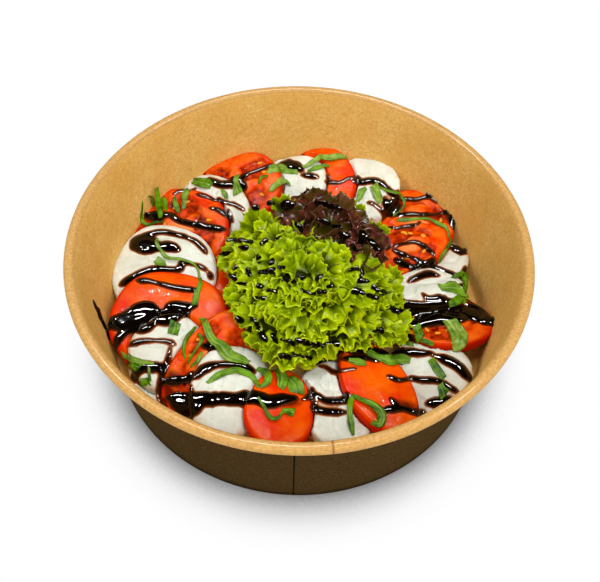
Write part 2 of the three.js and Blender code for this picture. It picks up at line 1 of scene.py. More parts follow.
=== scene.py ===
"""Caprese salad in a round kraft paper bowl: the looks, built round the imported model.

Sizes are millimetres with +Z up, as in the model's source. A mesh is scaled to metres when it is made.
"""
import math

import bpy
import numpy as np
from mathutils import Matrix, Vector
from mathutils.bvhtree import BVHTree


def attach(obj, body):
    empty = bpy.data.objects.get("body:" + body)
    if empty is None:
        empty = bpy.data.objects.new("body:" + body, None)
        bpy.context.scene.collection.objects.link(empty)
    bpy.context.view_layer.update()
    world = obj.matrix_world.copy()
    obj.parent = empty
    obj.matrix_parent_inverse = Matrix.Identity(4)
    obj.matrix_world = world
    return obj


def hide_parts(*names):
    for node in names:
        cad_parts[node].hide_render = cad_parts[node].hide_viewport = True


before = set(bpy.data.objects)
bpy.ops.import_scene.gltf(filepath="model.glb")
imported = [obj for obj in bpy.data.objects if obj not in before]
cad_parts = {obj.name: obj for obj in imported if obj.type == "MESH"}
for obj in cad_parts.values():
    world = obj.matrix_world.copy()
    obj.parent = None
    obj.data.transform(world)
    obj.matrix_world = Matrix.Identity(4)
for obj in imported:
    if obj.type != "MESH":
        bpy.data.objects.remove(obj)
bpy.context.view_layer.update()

MM = 0.001
CIRCLE = 2 * math.pi
GOLDEN_TURN = 137.508           # degrees from one leaf of a rosette to the next
BETWEEN = 24                    # points worked out between two places of a smooth line
TINY = 1e-9

# ---- driving sizes ---------------------------------------------------------------------------
RIM_RADIUS = 92.5
BOWL_HEIGHT = 63.0
ROLL = 2.3                      # radius of the rolled rim
PAPER = 0.8
BASE_RADIUS = 81.0
FLOOR = 10.0
WALL_LOW = BASE_RADIUS + 0.4    # inner radius of the wall at the floor, and under the rolled rim
WALL_HIGH = RIM_RADIUS - 2 * ROLL
ROLL_LEVEL = BOWL_HEIGHT - ROLL

TOMATO_THICK = 7.5
MOZZARELLA_THICK = 8.5
LEAF_SHEET = 0.26

EYE = (1.0, -213.8, 315.9)      # where the camera stands, and where the flat maps are seen from
PITCH = 53.47                   # degrees down
YAW = -0.11
TILT = 1.70
FOCAL_SHARE = 836 / 600         # focal length as a share of the frame's width
SENSOR = 36.0
MAP_LEVEL = 30.0                # height of the flat map that drizzle and basil are written on
HEAP_LEVEL = 42.0               # height of the flat map that drops on the lettuce are written on

HEAP = (2.0, -4.0)
TUFT = (14.0, 21.5)
TUFT_TURN = math.radians(-38)


# ---- noise -------------------------------------------------------------------------------------
def hash01(ix, iy, seed):
    """A fixed number from 0 to 1 for each corner of a grid."""
    wave = np.sin(ix * 127.1 + iy * 311.7 + seed * 74.7) * 43758.5453
    return wave - np.floor(wave)


def noise(x, y, size, seed=0):
    """Smooth noise from -1 to 1 whose lumps have one size."""
    gx = np.asarray(x, float) / size
    gy = np.asarray(y, float) / size
    ix, iy = np.floor(gx), np.floor(gy)
    fx, fy = gx - ix, gy - iy
    fx = fx * fx * (3 - 2 * fx)
    fy = fy * fy * (3 - 2 * fy)
    low = hash01(ix, iy, seed) * (1 - fx) + hash01(ix + 1, iy, seed) * fx
    high = hash01(ix, iy + 1, seed) * (1 - fx) + hash01(ix + 1, iy + 1, seed) * fx
    return 2 * (low * (1 - fy) + high * fy) - 1


def smoothstep(low, high, value):
    t = np.clip((value - low) / (high - low), 0, 1)
    return t * t * (3 - 2 * t)


# ---- places and lines ----------------------------------------------------------------------------
def unit(vectors):
    return vectors / np.maximum(np.linalg.norm(vectors, axis=-1, keepdims=True), TINY)


def turned(a, b, angle, origin=(0, 0)):
    """A place of a frame that is turned by an angle in radians about its origin."""
    c, s = math.cos(angle), math.sin(angle)
    return origin[0] + a * c - b * s, origin[1] + a * s + b * c


def run_length(path):
    return np.concatenate([[0], np.cumsum(np.linalg.norm(np.diff(path, axis=0), axis=1))])


def smooth_line(places, step):
    """Evenly spaced points of a smooth curve through the places."""
    p = np.array(places, float)
    p = np.concatenate([2 * p[:1] - p[1:2], p, 2 * p[-1:] - p[-2:-1]])
    t = np.linspace(0, 1, BETWEEN, endpoint=False)[:, None]
    parts = []
    for a, b, c, d in zip(p, p[1:], p[2:], p[3:]):
        bend = (2 * a - 5 * b + 4 * c - d) * t ** 2 + (3 * b - a - 3 * c + d) * t ** 3
        parts.append(0.5 * (2 * b + (c - a) * t + bend))
    curve = np.concatenate(parts + [p[-2:-1]])
    lengths = run_length(curve)
    even = np.linspace(0, lengths[-1], max(3, int(lengths[-1] / step) + 1))
    return np.stack([np.interp(even, lengths, column) for column in curve.T], -1)


# ---- meshes ------------------------------------------------------------------------------------
def make_mesh(name, points, faces, attributes=None):
    """A smooth mesh object from millimetre points; attributes are one number for each point."""
    mesh = bpy.data.meshes.new(name)
    mesh.from_pydata((np.asarray(points) * MM).tolist(), [], faces)
    mesh.update()
    for key, values in (attributes or {}).items():
        layer = mesh.attributes.new(key, "FLOAT", "POINT")
        layer.data.foreach_set("value", np.asarray(values, np.float32))
    mesh.polygons.foreach_set("use_smooth", [True] * len(mesh.polygons))
    obj = bpy.data.objects.new(name, mesh)
    bpy.context.scene.collection.objects.link(obj)
    return obj


def ring_faces(rows, count, closed=True):
    """Quads between rows of points, each row with the same count."""
    i = np.arange(rows - 1)[:, None]
    j = np.arange(count if closed else count - 1)[None, :]
    a = i * count + j
    b = i * count + (j + 1) % count
    return np.stack([a, b, b + count, a + count], -1).reshape(-1, 4).tolist()


def closed_loft(grid):
    """Points and faces of a closed body from rings, shape (rows, count, 3), capped at both ends."""
    rows, count = grid.shape[:2]
    points = np.concatenate([grid.reshape(-1, 3), grid[:1].mean(1), grid[-1:].mean(1)])
    faces = ring_faces(rows, count)
    first, last = rows * count, rows * count + 1
    for j in range(count):
        k = (j + 1) % count
        faces.append([first, k, j])
        faces.append([last, (rows - 1) * count + j, (rows - 1) * count + k])
    return points, faces


def thicken(sheet, thick):
    """A closed thin body from a grid of points, shape (rows, columns, 3)."""
    rows, columns = sheet.shape[:2]
    normal = unit(np.cross(np.gradient(sheet, axis=1), np.gradient(sheet, axis=0)))
    upper = (sheet + normal * thick / 2).reshape(-1, 3)
    lower = (sheet - normal * thick / 2).reshape(-1, 3)
    count = rows * columns
    quads = ring_faces(rows, columns, closed=False)
    faces = quads + [[a + count for a in quad[::-1]] for quad in quads]
    rim = list(range(columns)) + [i * columns + columns - 1 for i in range(1, rows)]
    rim += [(rows - 1) * columns + j for j in range(columns - 2, -1, -1)]
    rim += [i * columns for i in range(rows - 2, 0, -1)]
    for a, b in zip(rim, rim[1:] + rim[:1]):
        faces.append([b, a, a + count, b + count])
    return np.concatenate([upper, lower]), faces


def layer_mesh(name, cell, x, y, top, bottom, values):
    """A closed body between two height tables over the chosen cells of a grid."""
    rows, columns = x.shape
    i, j = np.nonzero(cell)
    corner = i * columns + j
    quads = np.stack([corner, corner + 1, corner + columns + 1, corner + columns], -1)
    used = np.unique(quads)
    renumber = np.full(rows * columns, -1)
    renumber[used] = np.arange(len(used))
    count = len(used)
    faces = [renumber[quads], renumber[quads[:, ::-1]] + count]
    padded = np.pad(cell, 1)
    sides = {(-1, 0): (0, 1), (0, 1): (1, 2), (1, 0): (2, 3), (0, -1): (3, 0)}
    for (di, dj), (a, b) in sides.items():
        open_side = ~padded[i + 1 + di, j + 1 + dj]
        first, second = renumber[quads[open_side, a]], renumber[quads[open_side, b]]
        faces.append(np.stack([second, first, first + count, second + count], -1))
    points = [np.stack([table.ravel()[used] for table in (x, y, z)], -1) for z in (top, bottom)]
    attributes = {key: np.tile(table.ravel()[used], 2) for key, table in values.items()}
    return make_mesh(name, np.concatenate(points), np.concatenate(faces).tolist(), attributes)


class Batch:
    """Collects many small bodies into one mesh."""

    def __init__(self):
        self.points, self.faces, self.values, self.count = [], [], {}, 0

    def add(self, body, **values):
        points, faces = body
        self.faces.extend([[v + self.count for v in face] for face in faces])
        self.points.append(points)
        for key, value in values.items():
            self.values.setdefault(key, []).append(np.broadcast_to(value, len(points)))
        self.count += len(points)

    def build(self, name):
        values = {key: np.concatenate(parts) for key, parts in self.values.items()}
        return make_mesh(name, np.concatenate(self.points), self.faces, values)


# ---- slices ------------------------------------------------------------------------------------
PRESS = 0.05            # a slice stays this far under the one on top of it
PRESS_SHARE = 1.04      # and is pressed down out to this share of the upper one's half size
LEAST = 0.02            # and keeps at least this thickness there
HAIR = 0.05             # the step between floor, underside and top where a slice meets the floor
SLICE_GAP = 0.35        # between a slice and the wall
AROUND = 114            # points round a slice
TOP_ROWS = 30
EDGE_ROWS = 6


class Slice:
    """A tomato or mozzarella slice that leans on its neighbour; the same numbers as in the model."""

    DOME = 1.2              # how much its middle stands over its edge
    EDGE = 1.8              # radius of the rounded edge
    POCKET_MIDDLE = 0.54    # how far out the seed pockets lie, and how deep they are
    POCKET_DEPTH = 0.9
    CREASE_DEPTH = 0.7      # of the fibrous creases of mozzarella

    def __init__(self, name, angle, reach, along, across, turn, top, rise, pockets=0, start=0):
        self.name, self.tomato = name, name.startswith("tomato")
        self.thick = TOMATO_THICK if self.tomato else MOZZARELLA_THICK
        self.angle, self.reach, self.turn = angle, reach, math.radians(turn)
        self.along, self.across, self.top, self.rise = along, across, top, rise
        self.pockets, self.start = pockets, math.radians(start)
        a = math.radians(angle)
        self.outward = np.array([math.cos(a), math.sin(a)])
        self.clockwise = np.array([math.sin(a), -math.cos(a)])
        self.middle = reach * self.outward
        self.edge_share = 1 - self.EDGE / min(along, across)

    def shifted(self, x, y):
        """How far a place lies round the bowl and outward from the slice's middle."""
        dx, dy = x - self.middle[0], y - self.middle[1]
        round_ = dx * self.clockwise[0] + dy * self.clockwise[1]
        return round_, dx * self.outward[0] + dy * self.outward[1]

    def local(self, x, y):
        return turned(*self.shifted(x, y), -self.turn)

    def lobes(self, t):
        return 1 + 0.025 * np.sin(3 * t + self.angle) + 0.015 * np.sin(5 * t + self.reach)

    def polar(self, x, y):
        a, b = self.local(x, y)
        t = np.arctan2(b / self.across, a / self.along)
        return np.hypot(a / self.along, b / self.across) / self.lobes(t), t

    def place(self, share, t):
        a = share * self.along * self.lobes(t) * np.cos(t)
        b = share * self.across * self.lobes(t) * np.sin(t)
        round_, out = turned(a, b, self.turn)
        x = self.middle[0] + round_ * self.clockwise[0] + out * self.outward[0]
        y = self.middle[1] + round_ * self.clockwise[1] + out * self.outward[1]
        return x, y

    def plane(self, x, y):
        round_, out = self.shifted(x, y)
        return self.top + self.rise[0] * round_ + self.rise[1] * out

    def rounding(self, share):
        q = np.clip((share - self.edge_share) / (1 - self.edge_share), 0, 1)
        return self.EDGE * (1 - np.sqrt(1 - q * q))

    def pocket(self, share, t):
        """How far a place lies in one of the seed pockets of a cut tomato, 0 to 1."""
        if not self.pockets:
            return np.zeros(np.shape(share))
        wedge = np.cos(self.pockets * (t - self.start)) + 0.35 * np.sin(5 * t + self.angle)
        ragged = 0.2 * noise(share * 12, t * 4, 1, self.reach)
        return smoothstep(0, 0.5, 0.75 - 3.4 * np.abs(share - self.POCKET_MIDDLE) + 0.5 * wedge + ragged)

    def relief(self, x, y, share, t):
        """The uneven skin of a tomato, with its sunk pockets, or the lumps and creases of mozzarella."""
        if self.tomato:
            smooth = 0.22 * noise(x, y, 7, self.angle) + 0.07 * noise(x, y, 1.8, self.reach)
            return smooth - self.POCKET_DEPTH * self.pocket(share, t)
        lumps = 0.5 * noise(x, y, 8, self.angle) + 0.12 * noise(x, y, 2.0, self.reach)
        a, b = self.local(x, y)
        crease = 1 - np.abs(noise(a + 2 * noise(b, a, 9, 3), b * 0.4, 4.5, self.angle + 5))
        return lumps - self.CREASE_DEPTH * crease ** 7

    def top_at(self, x, y, share, t):
        crown = self.DOME * (1 - np.minimum(share, 1) ** 2)
        return self.plane(x, y) + crown + self.relief(x, y, share, t) - self.rounding(share)

    def under_at(self, x, y, share):
        beyond = np.maximum(share - 1, 0) * min(self.along, self.across) * 2
        return self.plane(x, y) - self.thick + self.rounding(share) + beyond


# name, angle, reach, half sizes along and across, turn, height, slopes, seed pockets and their start
SLICES = [
    Slice("tomato_s", 264, 57, 13.5, 18, 0, 27, (0.16, 0.02)),
    Slice("mozzarella_ssw", 242, 55, 16, 21, 14, 26, (0.2, 0.02)),
    Slice("tomato_sw", 224, 49.5, 13, 25, 9, 25.5, (0.2, -0.2), 3, 100),
    Slice("mozzarella_sw", 211, 60, 18, 17, 0, 24, (0.2, 0.05)),
    Slice("tomato_w", 195, 56.5, 22.8, 25.4, 0, 25, (0.18, 0.03)),
    Slice("mozzarella_w", 169, 61, 23.5, 23, 0, 24, (0.2, 0.04)),
    Slice("tomato_nw", 149, 65.5, 24.5, 22.5, -2, 24, (0.2, 0.06), 4, -70),
    Slice("mozzarella_nw", 130, 64, 16, 20, 0, 25, (0.2, 0.08)),
    Slice("tomato_nnw", 118.5, 67, 24.5, 18.5, 3, 26, (0.18, 0.2), 4, 20),
    Slice("mozzarella_n", 94, 66, 16.5, 16, 0, 26, (0.18, 0.16)),
    Slice("tomato_n", 83, 65, 17.3, 20.4, 0, 26, (0.16, 0.3)),
    Slice("mozzarella_ne", 66, 68.5, 18.5, 18.5, 0, 27, (0.14, 0.24)),
    Slice("mozzarella_e", 5.2, 56.2, 11.8, 17, 0, 26, (0.12, 0.02)),
    Slice("tomato_ene", 29.5, 56, 12.2, 20.5, 0, 26, (-0.1, 0.05), 2, 170),
    Slice("tomato_ne", 40.5, 69, 20, 19, 0, 24, (0, 0.14), 3, 60),
    Slice("mozzarella_ene", 20.3, 64.5, 13, 18.5, 14, 20, (0.1, 0.05)),
    Slice("tomato_e", -9, 63, 15, 21, 0, 24, (0.12, 0.12), 3, 0),
    Slice("tomato_se", -54, 56.5, 13.6, 23.5, -10, 27, (0.04, 0)),
    Slice("mozzarella_se", -36.5, 65, 21.5, 18, 0, 22, (-0.12, 0.06)),
    Slice("mozzarella_sse", -73, 55, 14, 21.5, 0, 24, (0.12, 0.02)),
    Slice("mozzarella_wsw", 214, 66, 15, 14, 0, 19, (0, 0.02)),
    Slice("tomato_ssw", 222, 39, 13, 12, 0, 24, (0, 0.02), 2, 0),
    Slice("mozzarella_inner", 236, 42, 10, 12, 0, 25, (0, 0.02)),
    Slice("tomato_wnw", 160, 38, 14, 11, 0, 22, (0, 0)),
]


def pressed(index, x, y, z):
    """Lowers points of a slice beneath the slices that lie over it."""
    for upper in SLICES[:index]:
        share, _ = upper.polar(x, y)
        limit = upper.under_at(x, y, share) - PRESS
        z = np.where(share < PRESS_SHARE, np.minimum(z, limit), z)
    return z


def wall_radius(z):
    return WALL_LOW + (WALL_HIGH - WALL_LOW) * (z - FLOOR) / (ROLL_LEVEL - FLOOR)


def inside_wall(points, gap):
    """Draws points that lie beyond the wall inward, until they clear it by a gap."""
    radius = np.hypot(points[..., 0], points[..., 1])
    shrink = np.minimum(1, (wall_radius(points[..., 2]) - gap) / np.maximum(radius, 1e-6))
    points[..., :2] *= shrink[..., None]
    return points


def slice_grid(piece, index):
    """Rings of points from the middle of the top, over the edge, to the middle of the bottom."""
    t = np.linspace(0, CIRCLE, AROUND, endpoint=False)[None, :]
    turn = np.linspace(0, 1, EDGE_ROWS + 1)[1:]
    shares = np.concatenate([np.linspace(0.02, 1, TOP_ROWS) * piece.edge_share,
                             piece.edge_share + (1 - piece.edge_share) * np.sin(turn * math.pi / 2)])
    share = shares[:, None] * np.ones_like(t)
    x, y = piece.place(share, t)
    upper = pressed(index, x, y, piece.top_at(x, y, share, t))
    low_share = shares[::-1][::3][:, None] * np.ones_like(t)
    lx, ly = piece.place(low_share, t)
    lower = np.maximum(piece.under_at(lx, ly, low_share), FLOOR + HAIR)
    lower = np.minimum(lower, pressed(index, lx, ly, lower) - LEAST)
    grid = np.concatenate([np.stack([x, y, np.maximum(upper, FLOOR + 2 * HAIR)], -1),
                           np.stack([lx, ly, np.maximum(lower, FLOOR - HAIR)], -1)])
    shares = np.concatenate([share.ravel(), low_share.ravel() + 1, [0, 2]])
    pockets = np.concatenate([piece.pocket(share, t).ravel(), np.zeros(low_share.size + 2)])
    return inside_wall(grid, SLICE_GAP), shares, pockets


# ---- the height of the food -----------------------------------------------------------------------
class Ground:
    """Heights of whatever lies on top, on a fine square grid, and where that is food."""

    STEP = 0.4
    HALF = 92.0
    HIGHEST = 60        # sight lines are followed down from here
    SIGHT_STEP = 0.2

    def __init__(self):
        axis = np.arange(-self.HALF, self.HALF + self.STEP, self.STEP)
        x, y = np.meshgrid(axis, axis)
        radius = np.hypot(x, y)
        slope = (ROLL_LEVEL - FLOOR) / (WALL_HIGH - WALL_LOW)
        wall = np.minimum(FLOOR + (radius - WALL_LOW) * slope, BOWL_HEIGHT)
        z = np.where(radius < WALL_LOW, FLOOR, wall)
        limit = np.full(x.shape, float(BOWL_HEIGHT))
        self.food = np.zeros(x.shape, bool)
        for piece in SLICES:
            share, t = piece.polar(x, y)
            height = np.minimum(piece.top_at(x, y, share, t), limit)
            shows = (share < 1) & (height > z)
            z = np.where(shows, height, z)
            self.food |= shows
            under = piece.under_at(x, y, share) - PRESS
            limit = np.where(share < PRESS_SHARE, np.minimum(limit, under), limit)
        self.x, self.y, self.z = x, y, z
        self.soft = np.maximum(z, self.blurred(z, 4))

    @staticmethod
    def blurred(z, times):
        for _ in range(times):
            z = (2 * z + np.roll(z, 1, 0) + np.roll(z, -1, 0) + np.roll(z, 1, 1) + np.roll(z, -1, 1)) / 6
        return z

    def sample(self, table, x, y):
        gx = np.clip((np.asarray(x) + self.HALF) / self.STEP, 0, table.shape[1] - 1.001)
        gy = np.clip((np.asarray(y) + self.HALF) / self.STEP, 0, table.shape[0] - 1.001)
        ix, iy = gx.astype(int), gy.astype(int)
        fx, fy = gx - ix, gy - iy
        low = table[iy, ix] * (1 - fx) + table[iy, ix + 1] * fx
        high = table[iy + 1, ix] * (1 - fx) + table[iy + 1, ix + 1] * fx
        return low * (1 - fy) + high * fy

    def window(self, x, y, reach):
        """The square of the grid that reaches this far about a place."""
        span = int(reach / self.STEP) + 1
        middles = [int(round((value + self.HALF) / self.STEP)) for value in (y, x)]
        return tuple(slice(max(middle - span, 0), middle + span + 1) for middle in middles)

    def land(self, u, v):
        """Where the sight line through a place of the flat map meets the food."""
        u, v = np.asarray(u, float), np.asarray(v, float)
        hit = np.zeros(u.shape, bool)
        out_x, out_y = u.copy(), v.copy()
        for z in np.arange(self.HIGHEST, FLOOR, -self.SIGHT_STEP):
            share = (z - MAP_LEVEL) / (EYE[2] - MAP_LEVEL)
            x = u + (EYE[0] - u) * share
            y = v + (EYE[1] - v) * share
            now = ~hit & (self.sample(self.z, x, y) >= z)
            out_x[now], out_y[now] = x[now], y[now]
            hit |= now
        return out_x, out_y


ground = Ground()


# ---- drizzle: width, then places on the flat map ------------------------------------------------
DRIZZLE = [
    (6, (-73.8, 22), (-70, 19), (-64, 19.6), (-59, 20), (-54, 18.4)),
    (16, (-71, 21.5), (-66.5, 20.6)),
    (11, (-60, 20.2), (-56, 19.6)),
    (2.5, (-74, 22.6), (-69, 26.2), (-64, 28), (-60, 28.3), (-55, 27), (-48, 24.4), (-43, 20), (-41, 17)),
    (1.6, (-52, 11.8), (-44.4, 10), (-40, 7.6)),
    (3, (-38.6, 5.6), (-37.6, 3)),
    (3, (-75.6, -2), (-72.6, 1), (-68.4, 4.6), (-63, 6.4), (-56.4, 7), (-51.6, 7.6), (-51.6, 11)),
    (2.3, (-69, 1), (-63, 0.4), (-56.4, -1.4), (-49, -3), (-43, -3.5)),
    (2, (-59.4, 51.4), (-56.4, 53.8), (-49.8, 55)),
    (1.8, (-48.6, 52), (-44.4, 50.8), (-40.8, 49), (-36, 47.8), (-31, 46), (-26.4, 43)),
    (2, (-42, 43.6), (-37.8, 42.4), (-34, 39.4), (-31, 35.8)),
    (3, (-60, 39.4), (-54, 35), (-48, 33.4), (-42, 32), (-34, 31)),
    (5, (-71.4, 37.6), (-66, 37), (-61, 38.8)),
    (4, (-43.8, 61.6), (-38.4, 58.6), (-33, 59.2), (-30, 61), (-26.4, 56.2)),
    (2.2, (-28.8, 62.2), (-26.4, 65.8), (-21, 68.8), (-15.6, 71.8), (-13.2, 72.7)),
    (5, (-11.4, 71.2), (-7.8, 73), (-3, 71.8), (-0.6, 69.4)),
    (2.5, (0, 66.4), (4.2, 65.8), (7.2, 65.2)),
    (2, (11.4, 62), (15.6, 62), (18, 62.2), (21, 64.6), (23.4, 65.8)),
    (2.7, (24, 63.4), (28.2, 62.8), (32.4, 64), (36.6, 62.8), (39.6, 59.8), (42, 56.2), (45, 55)),
    (4, (38.4, 53.2), (39.6, 49), (42, 45.4), (45, 49)),
    (1.2, (30.6, 50.2), (33.6, 49), (36, 46), (38.4, 41.8)),
    (2, (46.8, 53.2), (51.6, 52.6), (57.6, 54.4), (64.8, 55)),
    (2.5, (42, 41.8), (48, 43.6), (60, 43.6), (66, 44.8), (68.4, 40), (70.2, 32.8)),
    (2, (31.2, 32.8), (37, 34), (43, 35.2), (49, 36.4), (54, 38.8)),
    (2.2, (41.4, 24.4), (46.8, 26.2), (51.6, 27), (55.2, 24.4), (59.4, 20.2)),
    (2.5, (41.4, 22), (45.6, 19.6), (51, 17.2), (54, 14.8)),
    (3.4, (42, 16), (46.8, 13.6), (52.2, 12.4), (57.6, 13), (62.4, 11.2), (66.6, 9.4), (70.8, 5.8),
     (73.2, 2.2), (78, 1), (78, -3.2)),
    (2.8, (47.4, 4.6), (51.6, 7.6), (56.4, 9.4), (60, 8.8)),
    (2.5, (52.8, -1.4), (55.2, -3.8), (60, -3.2), (63, -4.4)),
    (11, (68.6, 24.6), (71.6, 22.8)),
    (4, (37.2, -10.2), (40.8, -13.2), (45.6, -10.8), (57.6, -10.2), (63.6, -9), (70.8, -9)),
    (5, (42, -17.4), (47.4, -17.4), (54, -15.6), (60, -14.4), (66, -13.8), (72, -12.6), (78, -14.4),
     (82.8, -14.4)),
    (6.5, (66, -11.5), (72, -11.5), (78, -13), (81, -15.5)),
    (4.6, (50, -13), (56, -12.5), (62, -11.5)),
    (2.5, (70.8, -6), (74.4, -7.2), (77.4, -10.2)),
    (2.5, (37.8, -27), (42, -25.2), (48, -24.6)),
    (3.2, (20.4, -31.2), (25.8, -30.9), (31.2, -31.2), (36, -31.8), (40.8, -30.6), (45.6, -31.2),
     (54.6, -31.2)),
    (5, (55.2, -32.4), (60, -34.2), (64.8, -37.2), (67.8, -41.4), (70.2, -43.8)),
    (2, (18, -35.4), (24, -34.8), (28.8, -34.8), (33, -36)),
    (1.2, (9, -39), (12, -39.6), (15, -42), (18.6, -40.8), (24, -39.6)),
    (2.5, (36.6, -42.6), (40.8, -44.4), (45.6, -43.5), (51, -44), (57, -44.4), (61.2, -47.4),
     (64.2, -49.8)),
    (4, (51.6, -54.6), (55.8, -54), (60.6, -52.2)),
    (3.5, (33.6, -58.2), (38.4, -57.6), (42, -57), (45.6, -58.2), (49.8, -58.8)),
    (2, (37.2, -52.8), (40.8, -56.4)),
    (3, (3, -54.6), (7.8, -52.2), (12, -54.6), (18, -54.6), (21, -54)),
    (2.5, (6.6, -58.2), (12, -59.4), (19.8, -59.4)),
    (6.5, (-78, -22.2), (-73.2, -19.2), (-67.2, -15), (-62.4, -13.8), (-56.4, -18.6), (-51.6, -15.6),
     (-46.8, -12.6), (-43.2, -11.4)),
    (5.5, (-77, -23), (-72, -22), (-66, -19.5), (-61, -18)),
    (4, (-73.2, -33), (-72, -28.2), (-67.8, -24.6), (-63, -23.4), (-58.8, -21)),
    (2, (-67.8, -31.8), (-63, -30), (-57, -29.4), (-51.6, -30), (-49.2, -31.2)),
    (6, (-63.6, -46.8), (-61.2, -42.6), (-56.4, -42), (-52.8, -42.6)),
    (1.5, (-51, -31.8), (-51.6, -39), (-52.8, -46.8), (-52.8, -55.8), (-49.2, -60)),
    (5, (-49.2, -55.2), (-44.4, -55.8), (-38.4, -55.8), (-30, -55.5), (-22.2, -55.2), (-15.6, -54),
     (-10.2, -55.8), (-4.8, -54.6), (0, -54)),
    (12, (-46, -57.5), (-41.5, -57)),
    (4, (-44.4, -61.8), (-39, -60.6), (-36, -57.6)),
    (3.5, (-51.6, -48.6), (-44.4, -47.4), (-40.2, -45.6), (-37.2, -42.6), (-32.4, -40.2),
     (-26.4, -39.6), (-21, -40.2), (-16.8, -42.6)),
    (3, (-37.8, -31.2), (-31.2, -31.8)),
]

# Thin washes of glaze that only darken a tomato, written in the same way.
WASHES = [
    (13.0, (-76, -22), (-70, -20), (-62, -18)), (6.0, (-72, -29), (-68, -25), (-62, -23)),
    (6.4, (-52, 44), (-46, 43)), (5.2, (-48, 38), (-43, 34)), (6.8, (-50, -44), (-46, -50)),
    (6.0, (-40, 52), (-32, 53)), (4.8, (-60, 45), (-55, 41)), (6.0, (-38, 42), (-30, 40)),
    (4.8, (44, -9), (54, -10)), (5.2, (40, -54), (47, -56)), (4.4, (58, 44), (66, 42)),
    (4.4, (44, 40), (50, 41)), (5.2, (-46, -56), (-52, -50)), (4.0, (-8, -56), (2, -56)),
]
GLAZE_REACH = 2.6       # how far beyond its edge a poured line is still felt
PUDDLE_HEIGHT = 1.15    # the height that a wide puddle comes to
PUDDLE_ROUND = 0.95     # how quickly its edge climbs
PUDDLE_EDGE = -0.35     # its sheet runs this far beyond the wet edge, under the food's surface
FILM = 0.06             # the thinnest that wet glaze gets
SHEET_DEPTH = 0.5       # how far its underside lies in the food


def poured(lines, first_seed):
    """How far inside the poured lines each place of the food lies, in millimetres."""
    table = np.full(ground.z.shape, -GLAZE_REACH)
    for seed, (width, *line) in enumerate(lines, first_seed):
        flat = smooth_line(line, ground.STEP)
        length = run_length(flat)
        swell = 1 + 0.34 * noise(length, seed * 3.1, 8, seed)
        tail = np.minimum(1, 0.45 + np.minimum(length, length[-1] - length) / (1.6 * width))
        for x, y, radius in zip(*ground.land(flat[:, 0], flat[:, 1]), 0.5 * width * swell * tail):
            window = ground.window(x, y, radius + GLAZE_REACH)
            inside = radius - np.hypot(ground.x[window] - x, ground.y[window] - y)
            table[window] = np.maximum(table[window], inside)
    return table


def puddle_depth(table):
    wet = PUDDLE_HEIGHT * (1 - np.exp(-np.maximum(table, 0) / PUDDLE_ROUND))
    smooth = ground.blurred(np.where(table > 0, wet, 1.3 * table), 6)
    return np.where(table > 0, np.maximum(smooth, FILM), smooth)


def whole_cells(table, rule):
    return rule(rule(table[:-1, :-1], table[1:, :-1]), rule(table[:-1, 1:], table[1:, 1:]))


def build_drizzle():
    """One thick, smooth layer of glaze over the food, that levels out across small gaps."""
    level = ground.blurred(ground.z, 12)
    above = np.where(glaze_depth > 0, level + glaze_depth, -1.0)
    top = np.maximum(ground.z + glaze_depth * 0.5, above)
    bottom = np.minimum(ground.z, top) - SHEET_DEPTH
    wet = whole_cells((glaze > PUDDLE_EDGE) & ground.food, np.logical_or)
    cell = wet & whole_cells(ground.food, np.logical_and)
    return layer_mesh("balsamic_drizzle", cell, ground.x, ground.y, top, bottom, {"depth": glaze_depth})


glaze = ground.blurred(poured(DRIZZLE, 1), 4) + 0.15 + 0.2 * noise(ground.x, ground.y, 3.6, 3)
glaze_depth = puddle_depth(glaze)
washes = poured(WASHES, 90) + 0.7 * noise(ground.x, ground.y, 4, 8)


# ---- materials -----------------------------------------------------------------------------------
def rgb(red, green, blue):
    """Linear colour of an sRGB colour given from 0 to 255."""
    def linear(c):
        c /= 255
        return c / 12.92 if c <= 0.04045 else ((c + 0.055) / 1.055) ** 2.4
    return (linear(red), linear(green), linear(blue), 1)


